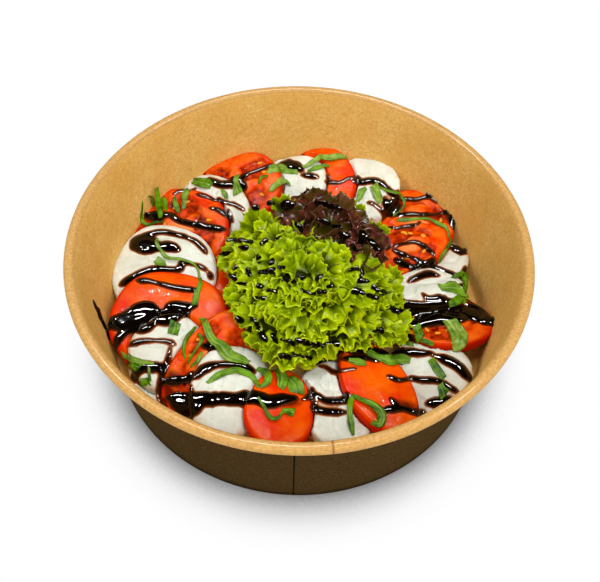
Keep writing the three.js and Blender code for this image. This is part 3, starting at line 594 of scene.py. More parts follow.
class Paint:
    """A node tree under construction: short calls that add and join nodes."""

    def __init__(self, tree):
        self.tree = tree

    def put(self, socket, value):
        if isinstance(value, bpy.types.NodeSocket):
            self.tree.links.new(value, socket)
        else:
            socket.default_value = value

    def fill(self, sockets, values):
        """Sets or joins sockets by their names, whose blanks are written as underscores."""
        for key, value in values.items():
            self.put(sockets[key.replace("_", " ")], value)

    def node(self, kind, **values):
        made = self.tree.nodes.new("ShaderNode" + kind)
        self.fill(made.inputs, values)
        return made

    def attribute(self, name):
        made = self.node("Attribute")
        made.attribute_name = name
        return made.outputs["Fac"]

    def lumps(self, scale, detail, rough):
        """Noise from 0 to 1 with about this many lumps to the metre."""
        place = self.node("TexCoord").outputs["Object"]
        return self.node("TexNoise", Vector=place, Scale=scale, Detail=detail, Roughness=rough).outputs["Fac"]

    def noise(self, size, detail=2.0, rough=0.5):
        """Noise from 0 to 1 whose lumps have about this size in millimetres."""
        return self.lumps(1 / (size * MM), detail, rough)

    def ramp(self, value, *stops):
        """A colour ramp; each stop is a place and a colour."""
        made = self.node("ValToRGB", Fac=value)
        band = made.color_ramp
        for index, (at, colour) in enumerate(stops):
            stop = band.elements[index] if index < 2 else band.elements.new(at)
            stop.position, stop.color = at, colour
        return made.outputs["Color"]

    def mix(self, factor, first, second):
        made = self.node("Mix")
        made.data_type = "RGBA"
        for socket, value in ((0, factor), (6, first), (7, second)):
            self.put(made.inputs[socket], value)
        return made.outputs[2]

    def math(self, operation, first, second=0.0):
        made = self.node("Math")
        made.operation = operation
        self.put(made.inputs[0], first)
        self.put(made.inputs[1], second)
        return made.outputs[0]

    def range(self, value, low, high, to_low=0.0, to_high=1.0):
        """The value stretched from low..high to 0..1, or to other ends."""
        made = self.node("MapRange", Value=value, From_Min=low, From_Max=high, To_Min=to_low, To_Max=to_high)
        return made.outputs["Result"]

    def lay(self, base, layer, mask, low, high, most=1.0):
        """A colour laid over another as a mask runs from low to high, up to the most that it covers."""
        return self.mix(self.range(mask, low, high, 0.0, most), base, layer)


class Finish(Paint):
    """A material: its node tree and its shader."""

    def __init__(self, name):
        self.material = bpy.data.materials.new(name)
        self.material.use_nodes = True
        super().__init__(self.material.node_tree)
        self.shader = self.tree.nodes["Principled BSDF"]

    def set(self, **values):
        self.fill(self.shader.inputs, values)

    def group(self, name, **values):
        made = self.node("Group")
        made.node_tree = GROUPS[name]
        self.fill(made.inputs, values)
        return made.outputs[0]

    def patches(self, size, first, second, sharpness=2.5):
        return self.group("soft patches", Scale=1 / (size * MM), Sharpness=sharpness, First=first,
                          Second=second)

    def stain(self, colour, edge, deep, spread):
        return self.group("glaze stain", Color=colour, Edge=edge, Deep=deep, Film=self.attribute("film"),
                          Spread=spread)

    def scatter(self, weight, scale, radius):
        self.set(Subsurface_Weight=weight, Subsurface_Scale=scale * MM, Subsurface_Radius=radius)

    def done(self, colour, roughness, specular, grain, depth):
        """The material with its colour and gloss, and fine bumps of this size and depth."""
        normal = self.group("fine relief", Scale=1 / (grain * MM), Depth=depth * MM)
        self.set(Base_Color=colour, Roughness=roughness, Specular_IOR_Level=specular, Normal=normal)
        return self.material


def new_group(name, numbers, colours, output, kind):
    """An empty shader group with named sockets: its paint, its input sockets and its output socket."""
    tree = bpy.data.node_groups.new(name, "ShaderNodeTree")
    for key in numbers:
        tree.interface.new_socket(name=key, in_out="INPUT", socket_type="NodeSocketFloat")
    for key in colours:
        tree.interface.new_socket(name=key, in_out="INPUT", socket_type="NodeSocketColor")
    tree.interface.new_socket(name=output, in_out="OUTPUT", socket_type=kind)
    given = tree.nodes.new("NodeGroupInput").outputs
    return Paint(tree), given, tree.nodes.new("NodeGroupOutput").inputs[output]


def group_patches():
    """Two colours in soft patches."""
    paint, given, out = new_group("soft patches", ("Scale", "Sharpness"), ("First", "Second"), "Color",
                                  "NodeSocketColor")
    away = paint.math("SUBTRACT", paint.lumps(given["Scale"], 3.0, 0.55), 0.5)
    sharp = paint.math("ADD", paint.math("MULTIPLY", away, given["Sharpness"]), 0.5)
    mask = paint.node("Clamp", Value=sharp).outputs[0]
    paint.put(out, paint.mix(mask, given["First"], given["Second"]))
    return paint.tree


def group_relief():
    """Fine bumps with a second, finer set on them."""
    paint, given, out = new_group("fine relief", ("Scale", "Depth"), (), "Normal", "NodeSocketVector")
    height = paint.lumps(given["Scale"], 5.0, 0.62)
    bump = paint.node("Bump", Height=height, Distance=given["Depth"], Strength=0.6)
    paint.put(out, bump.outputs["Normal"])
    return paint.tree


def group_stain():
    """Glaze soaked into what lies beside and under the drizzle."""
    paint, given, out = new_group("glaze stain", ("Film", "Spread"), ("Color", "Edge", "Deep"), "Color",
                                  "NodeSocketColor")
    start = paint.math("MULTIPLY", given["Spread"], -1.0)
    share = paint.range(given["Film"], start, 0.1)
    edge = paint.lay(given["Color"], given["Edge"], share, 0.0, 0.5)
    paint.put(out, paint.lay(edge, given["Deep"], share, 0.45, 1.0))
    return paint.tree


GROUPS = {tree.name: tree for tree in (group_patches(), group_relief(), group_stain())}


def paint_glaze():
    paint = Finish("balsamic glaze")
    thin, thick, deep = rgb(112, 46, 6), rgb(50, 17, 3), rgb(9, 4, 2)
    colour = paint.ramp(paint.attribute("depth"), (0.0, thin), (0.2, thick), (0.5, deep))
    return paint.done(colour, roughness=0.06, specular=0.35, grain=5.0, depth=0.03)


def paint_mozzarella():
    paint = Finish("mozzarella")
    cream = paint.patches(7, rgb(213, 217, 202), rgb(234, 238, 227))
    cream = paint.lay(cream, rgb(198, 203, 181), paint.noise(3.5, 3), 0.56, 0.7, 0.5)
    # Towards the slice's rounded edge a warm tan is laid in patches: painted shade of the turned-down edge,
    # yellowish like the cheese's shadows.
    edge_shade = paint.lay(cream, rgb(222, 178, 126), paint.noise(5, 3), 0.52, 0.66, 0.7)
    cream = paint.lay(cream, edge_shade, paint.attribute("share"), 0.78, 0.98)
    colour = paint.stain(cream, rgb(170, 96, 22), rgb(40, 14, 3), 0.7)
    paint.scatter(0.1, 2.0, (1.0, 0.95, 0.85))
    return paint.done(colour, roughness=0.34, specular=0.07, grain=2.2, depth=1.3)


def tomato_inside(paint):
    """The cut side: a pale core, flesh, pockets of gel and seeds."""
    flesh = paint.patches(6, rgb(220, 48, 0), rgb(242, 106, 18), 3.5)
    core = paint.lay(rgb(244, 140, 70), flesh, paint.attribute("share"), 0.12, 0.4)
    gel = paint.patches(3, rgb(118, 10, 0), rgb(218, 66, 0), 3.5)
    flesh = paint.mix(paint.attribute("pocket"), core, gel)
    return paint.mix(paint.attribute("seed"), flesh, rgb(238, 156, 40))


def paint_tomato(cut):
    paint = Finish("cut tomato" if cut else "tomato skin")
    flesh = tomato_inside(paint) if cut else paint.patches(11, rgb(226, 46, 0), rgb(240, 98, 2), 3.5)
    flesh = paint.lay(flesh, rgb(74, 5, 1), paint.attribute("wash"), -0.8, 1.6, 0.9)
    skin = paint.lay(flesh, rgb(214, 40, 0), paint.attribute("share"), 0.9, 0.975)
    colour = paint.stain(skin, rgb(128, 16, 2), rgb(36, 5, 2), 0.45)
    beads = paint.range(paint.noise(1.0, 3), 0.54, 0.64)
    moist = paint.range(paint.noise(7), 0.54, 0.62, 0.0, 0.22)
    paint.set(Coat_Weight=paint.math("MULTIPLY", beads, moist), Coat_Roughness=0.07)
    paint.scatter(0.04, 1.5, (1.0, 0.2, 0.03))
    return paint.done(colour, roughness=0.15, specular=0.02, grain=1.4, depth=0.3 if cut else 0.2)


def paint_paper():
    paint = Finish("kraft paper")
    fibre, rolled, seam = paint.noise(1.1, 6, 0.75), paint.attribute("rim"), paint.attribute("seam")
    dark, light, middle = rgb(216, 164, 84), rgb(250, 216, 142), rgb(238, 192, 106)
    inside = paint.ramp(fibre, (0.32, dark), (0.68, light), (0.5, middle))
    inside = paint.lay(inside, rgb(226, 170, 80), paint.noise(14, 3), 0.35, 0.65, 0.5)
    inside = paint.lay(inside, rgb(198, 132, 54), paint.noise(3, 5, 0.7), 0.5, 0.72, 0.4)
    # The outside wall's dark brown is painted shade: the same kraft paper is tan inside.
    outside = paint.ramp(fibre, (0.3, rgb(54, 38, 18)), (0.7, rgb(86, 66, 38)))
    outside = paint.mix(seam, outside, rgb(8, 4, 1))
    rim = paint.ramp(fibre, (0.32, rgb(184, 134, 70)), (0.68, rgb(220, 176, 108)))
    rim = paint.mix(seam, rim, rgb(140, 92, 40))
    body = paint.mix(paint.attribute("outside"), inside, outside)
    paint.set(Coat_Weight=paint.math("MULTIPLY", rolled, 0.2), Coat_Roughness=0.2)
    return paint.done(paint.mix(rolled, body, rim), roughness=0.6, specular=0.0, grain=0.8, depth=0.08)


def paint_green():
    paint = Finish("green lettuce")
    share = paint.attribute("share")
    # A leaf runs from a near-black deep green at its root to a light green at its tip: painted shade of the
    # heap's recesses, with the tips as the lit faces.
    deep = paint.patches(5, rgb(22, 26, 0), rgb(52, 66, 0))
    light = paint.patches(3, rgb(140, 170, 0), rgb(206, 222, 4))
    grassy = paint.patches(4, rgb(90, 118, 2), rgb(172, 196, 8), 3.5)
    leaf = paint.mix(paint.attribute("tint"), paint.lay(deep, light, share, 0.44, 0.94), grassy)
    # A pale yellow-green rim at each leaf's edge is a painted highlight.
    colour = paint.lay(leaf, rgb(204, 218, 40), share, 0.93, 1.0, 0.25)
    paint.scatter(0.05, 1.2, (0.8, 1.0, 0.05))
    return paint.done(colour, roughness=0.26, specular=0.08, grain=1.6, depth=0.35)


def paint_red():
    paint = Finish("red lettuce")
    share = paint.attribute("share")
    deep = paint.patches(5, rgb(84, 78, 8), rgb(44, 22, 6))
    purple = paint.patches(5, rgb(24, 7, 4), rgb(112, 52, 38), 4)
    light = paint.lay(purple, rgb(84, 74, 16), paint.attribute("tint"), 0.7, 1.0, 0.6)
    leaf = paint.lay(deep, light, share, 0.25, 0.8)
    colour = paint.lay(leaf, rgb(140, 92, 74), share, 0.97, 1.0, 0.25)
    return paint.done(colour, roughness=0.2, specular=0.22, grain=1.6, depth=0.35)


def paint_basil():
    paint = Finish("basil")
    away = paint.math("ABSOLUTE", paint.attribute("across"))
    face = paint.patches(4, rgb(40, 84, 0), rgb(106, 156, 2), 4)
    pale = paint.patches(3, rgb(92, 130, 24), rgb(154, 182, 74), 4)
    # The pale colour marks the underside; on top faces it is partly painted sheen.
    green = paint.mix(paint.attribute("under"), face, pale)
    green = paint.mix(paint.range(away, 0.0, 0.1, 0.5, 0.0), green, rgb(160, 184, 96))
    colour = paint.lay(green, rgb(40, 66, 4), away, 0.9, 1.0, 0.5)
    return paint.done(colour, roughness=0.26, specular=0.07, grain=1.2, depth=0.3)


def dress(piece, material, slot, *nodes):
    piece.data.materials.clear()
    piece.data.materials.append(material)
    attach(piece, "root")
    if nodes:
        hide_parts(*nodes)
    return piece


# ---- bowl ------------------------------------------------------------------------------------------
WALL_SEAM = 270.3       # headings in degrees of the glued joints in the wall and in the rim
RIM_SEAM = 278.4
SEAM_HALF = 0.4
LAP = 9.0               # how far the glued laps run on, in degrees
LAP_FADE = 4.0
WALL_LAP_STEP = 0.3     # how much thicker the paper is at a lap
RIM_LAP_STEP = 0.25
ROLL_LOW = ROLL_LEVEL - ROLL
WALL_TOP = ROLL_LOW + 0.3
AXIS = 0.01             # the floor's rings start this close to the middle


def bowl_profile():
    """Radius and height from the floor's middle, up the wall, over the rolled rim and down outside."""
    profile = [(AXIS, FLOOR), (40, FLOOR), (WALL_LOW - 1.2, FLOOR), (WALL_LOW - 0.3, FLOOR + 0.25),
               (WALL_LOW, FLOOR + 1)]
    for share in np.linspace(0, 1, 14)[1:-1]:
        z = FLOOR + share * (ROLL_LEVEL - FLOOR)
        profile.append((wall_radius(z), z))
    for a in np.radians(np.linspace(180, -90, 19)):
        profile.append((RIM_RADIUS - ROLL + ROLL * math.cos(a), ROLL_LEVEL + ROLL * math.sin(a)))
    for z in np.linspace(ROLL_LOW, 0, 14)[1:]:
        profile.append((BASE_RADIUS + (WALL_HIGH + PAPER - BASE_RADIUS) * z / ROLL_LOW, z))
    profile += [(BASE_RADIUS - PAPER, 0), (BASE_RADIUS - PAPER, FLOOR - PAPER), (AXIS, FLOOR - PAPER)]
    return np.array(profile)


def lap_at(t, seam):
    return np.clip((t - seam) / SEAM_HALF, 0, 1) * np.clip((seam + LAP - t) / LAP_FADE, 0, 1)


def build_bowl():
    """The paper bowl: floor, flared wall and rolled rim, one sheet with true thickness."""
    profile = bowl_profile()
    radius, level = profile[:, :1], profile[:, 1:]
    joints = [angle + step for angle in (WALL_SEAM, RIM_SEAM) for step in (-SEAM_HALF, 0, SEAM_HALF)]
    t = np.sort(np.concatenate([np.linspace(0, 360, 240, endpoint=False), joints]))
    low = level < WALL_TOP
    seam = np.where(low, np.abs(t - WALL_SEAM) < SEAM_HALF / 2, np.abs(t - RIM_SEAM) < SEAM_HALF / 2)
    wall_in = np.where(low & (radius > BASE_RADIUS), 1 - lap_at(t, WALL_SEAM), 0)
    rim_down = np.where(low, 0, 1 - lap_at(t, RIM_SEAM)) * (level > ROLL_LEVEL)
    shape = radius - WALL_LAP_STEP * wall_in
    t = np.radians(t)
    rings = np.stack([shape * np.cos(t), shape * np.sin(t), level - RIM_LAP_STEP * rim_down], -1)
    points, faces = closed_loft(rings)
    radius, level = np.hypot(points[:, 0], points[:, 1]), points[:, 2]
    outside = (radius > wall_radius(level) + PAPER / 2) & (level < WALL_TOP)
    rim = (level > WALL_TOP) & (radius > WALL_HIGH + 0.2)
    seam = np.concatenate([seam.ravel(), [0, 0]])
    return make_mesh("paper_bowl", points, faces, {"outside": outside, "rim": rim, "seam": seam})


# ---- lettuce ---------------------------------------------------------------------------------------
def ruffled_leaf(root, heading, climb, reach, spread, frill, waves, teeth, curl, seed, grid):
    """A leaf that opens like a fan from its root; its edge is ruffled in waves that carry smaller ones."""
    rows, columns = grid
    start, second, third, _, scallop, tooth = np.random.default_rng(seed).uniform(0, 6.28, 6)
    u = (np.linspace(0.04, 1, rows) ** 0.75)[:, None]
    v = np.linspace(-1, 1, columns)[None, :]
    first = waves * v + start
    lip = np.sin(2.1 * u ** 1.5)
    wave = frill * lip * (np.sin(first) + 0.42 * u * np.sin(2.3 * first + second)
                          + 0.15 * u ** 2 * np.sin(5.3 * first + third))
    meander = -0.5 * u ** 2 / waves * np.sin(2 * first)
    angle = math.radians(spread) * (v + meander)
    lobes = 1 - 0.15 * v ** 2 - 0.1 * u ** 2 * np.sin(first) ** 2
    notches = 0.06 * u ** 4 * np.sin(3.1 * first + scallop) + 0.05 * u ** 8 * np.sin(10 * first + tooth)
    length = reach * u * (lobes + teeth * notches)
    lift = math.radians(climb) + curl * (u - 0.5) + 0.25 * v ** 2
    forward = length * np.cos(angle)
    flat = forward * np.cos(lift) - wave * np.sin(lift)
    up = forward * np.sin(lift) + wave * np.cos(lift)
    x, y = turned(flat, length * np.sin(angle), math.radians(heading), root)
    shares = np.broadcast_to(u, up.shape).ravel()
    return thicken(np.stack([x, y, root[2] + up], -1), LEAF_SHEET), np.concatenate([shares, shares])


def lumpy_dome(centre, rings, stretch, turn):
    """The soft core that leaves stand on; rings are radius and height."""
    t = np.linspace(0, CIRCLE, 64, endpoint=False)
    grid = []
    for radius, z in rings:
        lump = 1 + 0.05 * np.sin(3 * t + z) + 0.03 * np.sin(7 * t + radius)
        x, y = turned(radius * lump * stretch * np.cos(t), radius * lump * np.sin(t), turn, centre)
        grid.append(np.stack([x, y, np.full(t.size, float(z))], -1))
    return closed_loft(np.array(grid))


# heading from the heap's middle in degrees, and how far the leaf tips reach there
HEAP_REACH = ((0, 41), (24, 41), (56, 46), (85, 45), (107, 48), (122, 47), (147, 44), (163, 38), (180, 31),
              (225, 32), (250, 39), (267, 40), (278, 37), (299, 30), (326, 42), (345, 42))
HEAP_CORE = ((8, 43), (18, 41), (26, 37), (30, 33), (28, 30), (23, 27), (23, FLOOR + 0.3))
HEAP_LEAVES = 150
HEART_LEAVES = 64       # of these stand in the heart, and the others outside it
TIP = 8.5               # how far a leaf of the heap stands beyond its root
HEAP_TOP = 42.5         # height of the leaves' roots in the middle, and how much lower they are outside
HEAP_FALL = 11.5
TUFT_CORE = ((5, 38.5), (9, 37), (11, 34.5), (9, 32.5))
TUFT_STRETCH = 1.7
TUFT_LEAVES = 38
TUFT_TOP = 43.0
TUFT_FALL = 5.0
TUFT_ROOTS = (20, 11)   # half sizes of the patch that the red leaves' roots stand in
TUFT_HALF = (21, 12)    # half sizes of the patch that the red tuft takes from the green heap
TUFT_CLEAR = 1.02

# place, heading, climb, reach, spread, frill, waves: broader leaves that stand out of the heap
GREEN_LEAVES = [
    ((-18, 24, 38), 130, 35, 11, 60, 2.2, 9),
    ((-8, 38, 33), 100, 45, 10, 50, 2.2, 8),
    ((6, 40, 33), 80, 45, 9, 50, 2.0, 8),
    ((22, 36, 33), 60, 40, 10, 50, 2.2, 8),
    ((31, 23, 33), 30, 35, 11, 50, 2.2, 8),
    ((17, -8, 45), -46, -6, 18, 42, 1.0, 6),
    ((37, -17, 33), -36, 0, 11, 60, 1.4, 8),
    ((27, -21, 34), -78, 4, 7, 60, 1.4, 7),
    ((37, -9, 33), -15, 10, 8, 65, 1.6, 8),
    ((37, 3, 33), 12, 12, 8, 65, 1.6, 8),
    ((8, -30, 35), -85, 10, 10, 55, 1.6, 7),
    ((-9, -33, 33), -98, 8, 9, 60, 1.8, 8),
    ((33, -20, 32), -56, -6, 12, 62, 1.3, 8),
    ((24, -25, 32), -75, -4, 9, 60, 1.3, 8),
    ((38, -19, 30), -58, -14, 10, 60, 1.2, 8),
    ((-16, -20, 37), 222, 6, 11, 60, 1.5, 9),
    ((-12, -27, 34), 238, 8, 11, 60, 1.5, 9),
    ((-22, -10, 35), 200, 10, 10, 60, 1.2, 5),
    ((-5, -18, 43), -95, 8, 11, 60, 1.3, 7),
    ((2, 13, 38), 90, 78, 12, 50, 0.9, 4),
    ((12, 2, 42), 60, 25, 12, 60, 1.2, 4),
]


# how far a leaf turns and tilts off its place in the rosette, the ranges its form is drawn from, its grid
GREEN_HABIT = {"turn": 80, "tilt": 22, "reach": (8, 12), "spread": (65, 105), "frill": (1.4, 2.3),
               "curl": (-1.2, 0.4), "waves": (8, 13), "grid": (9, 68)}
RED_HABIT = {"turn": 70, "tilt": 18, "reach": (8, 12.5), "spread": (50, 85), "frill": (1.4, 2.4),
             "curl": (-1.2, 0.6), "waves": (4, 7), "grid": (10, 60)}
TEETH = 0.5
BROAD_LEAF = {"teeth": 0.8, "curl": 0.4, "grid": (10, 60)}


def grow_leaf(rng, root, heading, climb, habit, seed):
    heading += rng.uniform(-habit["turn"], habit["turn"])
    climb += rng.uniform(-habit["tilt"], habit["tilt"])
    form = {key: rng.uniform(*habit[key]) for key in ("reach", "spread", "frill", "curl", "waves")}
    return ruffled_leaf(root, heading, climb, **form, teeth=TEETH, seed=seed, grid=habit["grid"])


def rosette(k, count):
    """How far out a leaf of a rosette stands, 0 to 1, and its heading in degrees."""
    return math.sqrt((k + 0.5) / count), k * GOLDEN_TURN


def in_tuft(x, y):
    a, b = turned(x - TUFT[0], y - TUFT[1], -TUFT_TURN)
    return math.hypot(a / TUFT_HALF[0], b / TUFT_HALF[1]) < TUFT_CLEAR


def heap_reach(heading):
    headings, reaches = zip(*HEAP_REACH)
    return np.interp(heading % 360, headings, reaches, period=360)


def add_heart(batch):
    """The heap's core and its broader leaves."""
    # The core takes share 0, so it gets the darkest, painted-shade green.
    batch.add(lumpy_dome(HEAP, HEAP_CORE, 1, 0), share=0.0, tint=0.0)
    for seed, (*leaf, waves) in enumerate(GREEN_LEAVES, 500):
        body, share = ruffled_leaf(*leaf, waves, seed=seed, **BROAD_LEAF)
        batch.add(body, share=share, tint=0.5)


def build_green(name, first, last, seed):
    batch = Batch()
    if first == 0:
        add_heart(batch)
    rng = np.random.default_rng(seed)
    for k in range(first, last):
        share, around = rosette(k, HEAP_LEAVES)
        radius = share * (heap_reach(around) - TIP) + rng.uniform(-1, 1)
        x, y = turned(radius, 0, math.radians(around), HEAP)
        if in_tuft(x, y):
            continue
        root = (x, y, HEAP_TOP - HEAP_FALL * share ** 2.2 + 1.6 * noise(x, y, 9, 4) + rng.uniform(-1.6, 1.6))
        climb = 52 - 36 * share ** 1.5
        body, shares = grow_leaf(rng, root, around, climb, GREEN_HABIT, seed * 1000 + k)
        batch.add(body, share=shares, tint=rng.uniform(0, 1) ** 2)
    return batch.build(name)


def build_red():
    batch = Batch()
    batch.add(lumpy_dome(TUFT, TUFT_CORE, TUFT_STRETCH, TUFT_TURN), share=0.0, tint=0.0)
    rng = np.random.default_rng(23)
    for k in range(TUFT_LEAVES):
        share, around = rosette(k, TUFT_LEAVES)
        h = math.radians(around)
        a, b = TUFT_ROOTS[0] * share * math.cos(h), TUFT_ROOTS[1] * share * math.sin(h)
        x, y = turned(a, b, TUFT_TURN, TUFT)
        root = (x, y, TUFT_TOP - TUFT_FALL * share + rng.uniform(-1, 1))
        heading = math.degrees(math.atan2(y - TUFT[1], x - TUFT[0]))
        body, shares = grow_leaf(rng, root, heading, 62 - 36 * share, RED_HABIT, 100 + k)
        batch.add(body, share=shares, tint=rng.uniform(0, 1))
    return batch.build("lettuce_red_leaves")


# ---- drops of glaze on the lettuce: radius, then the ends of a short line on the heap's map --------
DROPS = [
    (1.2, (-30, 15), (-26, 15)), (1.3, (-25, 15), (-21, 14.5)), (1.3, (-25, 11), (-23.5, 11)),
    (1.4, (-32, 7), (-30, 8)), (1.2, (-16, 14), (-15, 15)), (1.2, (-10, 16), (-9, 17)),
    (1.2, (-17, 5), (-17, 5.5)), (1.3, (-28, -4), (-27, -5)), (1.2, (-24, -8), (-22.5, -8)),
    (1.3, (-21, -2), (-20.5, -3)), (1.3, (-16, -2), (-11, -1)), (1.1, (-16, -9), (-15, -9)),
    (1.1, (-17, -15), (-14, -15)), (1.0, (-12, -11), (-9, -11.5)), (1.3, (-5, -6), (-2, -6)),
    (1.2, (1, -4), (2, -4.5)), (1.2, (8, -4), (9, -3)), (1.1, (-8, 1), (-7, 1)),
    (1.1, (-12, 3), (-11.5, 4)), (1.1, (2, -11), (5, -12)), (1.1, (7, -11.5), (10, -11)),
    (1.2, (13, -8), (14, -8)), (1.6, (25, -4), (28, -5.5)), (1.5, (31, -8), (34, -10)),
    (1.4, (23, -10), (26, -11)), (1.3, (29, -12), (31, -13)), (1.7, (31, -29), (32, -29)),
    (2.0, (37, -18), (39, -19)), (1.4, (-24, -26), (-23, -26)), (1.5, (-24, -29), (-23.6, -30)),
    (1.2, (-18, -25), (-16, -28)), (1.5, (-15, -30), (-13, -34)), (1.4, (-9, -34), (-8, -36)),
    (1.3, (-5, -35), (-2, -36)), (1.3, (1, -35), (4, -36)), (1.4, (6, -36), (10, -37)),
    (1.3, (12, -36), (16, -36)), (1.2, (-6, -42), (-2, -43)), (1.2, (0, -42), (5, -43)),
    (1.3, (22, 1), (23, 1.5)), (1.2, (26, -1), (26, 0)), (1.3, (-21, 34), (-20, 34)),
    (1.3, (-14, 37), (-13, 37)), (2.2, (-7, 36), (-5, 36)), (2.0, (8, 38), (11, 37)),
    (1.3, (16, 36), (17, 35)), (1.4, (-2, 25), (0, 23)), (1.5, (18, 20), (20, 19)),
    (1.6, (27, 21), (28, 19)), (1.5, (25, 16), (26, 17)), (1.7, (31, 16), (33, 13)),
    (1.2, (0, 44), (2, 44)), (1.3, (8, 28), (11, 27)), (1.3, (14, 25), (17, 24)),
    (1.1, (-27, 0), (-26, 1)),
]

# The drip on the wall, in the same form, on the map that the drizzle is written on.
WALL_DRIP = [
    (1.0, (-85.8, -11.4), (-83.4, -15.6)),
    (1.6, (-83, -16.4), (-79.6, -22.6)),
    (1.2, (-79, -23.4), (-77, -28)),
]
DROP_FLAT = 0.62        # a drop's height as a share of its radius
DROP_UNDER = -0.45      # the angle below its widest ring that its underside starts from
UPRIGHT = 0.8           # how far drops on the lettuce turn from the leaf towards straight up
DROP_SIZE = 0.92        # a drop's radius, as a share of the one written, and how much longer it is
DROP_LONG = 0.5


def blob(centre, normal, along, radius, long, seed):
    """A rounded drop that lies on a surface, longer by as much at either end."""
    lat = np.linspace(DROP_UNDER, math.pi / 2 - 0.05, 7)[:, None]
    t = np.linspace(0, CIRCLE, 14, endpoint=False)[None, :]
    swell = 1 + 0.14 * np.sin(2 * t + seed) + 0.08 * np.sin(3 * t + 2 * seed)
    girth = radius * np.cos(lat) * swell
    a = girth * np.cos(t) + long * np.sign(np.cos(t)) * np.abs(np.cos(t)) ** 0.5
    b = girth * np.sin(t)
    n = DROP_FLAT * radius * np.sin(lat) + 0 * t
    normal = unit(normal)
    along = unit(along - normal * along.dot(normal))
    side = np.cross(normal, along)
    return closed_loft(centre + a[..., None] * along + b[..., None] * side + n[..., None] * normal)


def surface_of(pieces):
    """The pieces' faces as one tree for sight lines, in metres."""
    points, faces = [], []
    for piece in pieces:
        count = len(points)
        points += [v.co.copy() for v in piece.data.vertices]
        faces += [[v + count for v in p.vertices] for p in piece.data.polygons]
    return BVHTree.FromPolygons(points, faces)


def build_drops(name, pieces, drops, level, upright):
    """Drops along short lines of a flat map at this height, where sight lines meet the pieces."""
    tree = surface_of(pieces)
    eye = Vector(EYE) * MM
    batch = Batch()
    for seed, (radius, start, end) in enumerate(drops):
        steps = max(2, int(math.dist(start, end)) + 1)
        along = np.array([end[0] - start[0], end[1] - start[1], 0.001])
        for share in np.linspace(0, 1, steps):
            u, v = (start[k] + (end[k] - start[k]) * share for k in (0, 1))
            target = Vector((u, v, level)) * MM
            place, normal, _, _ = tree.ray_cast(eye, target - eye)
            if place is None:
                continue
            if normal.dot(eye - place) < 0:
                normal = -normal
            normal = np.array(normal) + (0, 0, upright)
            size = DROP_SIZE * radius * (1 + 0.2 * math.sin(seed * 2.4 + 3 * share))
            drop = blob(np.array(place) / MM, normal, along, size, DROP_LONG * size, seed + share)
            batch.add(drop, depth=1.0)
    return batch.build(name)
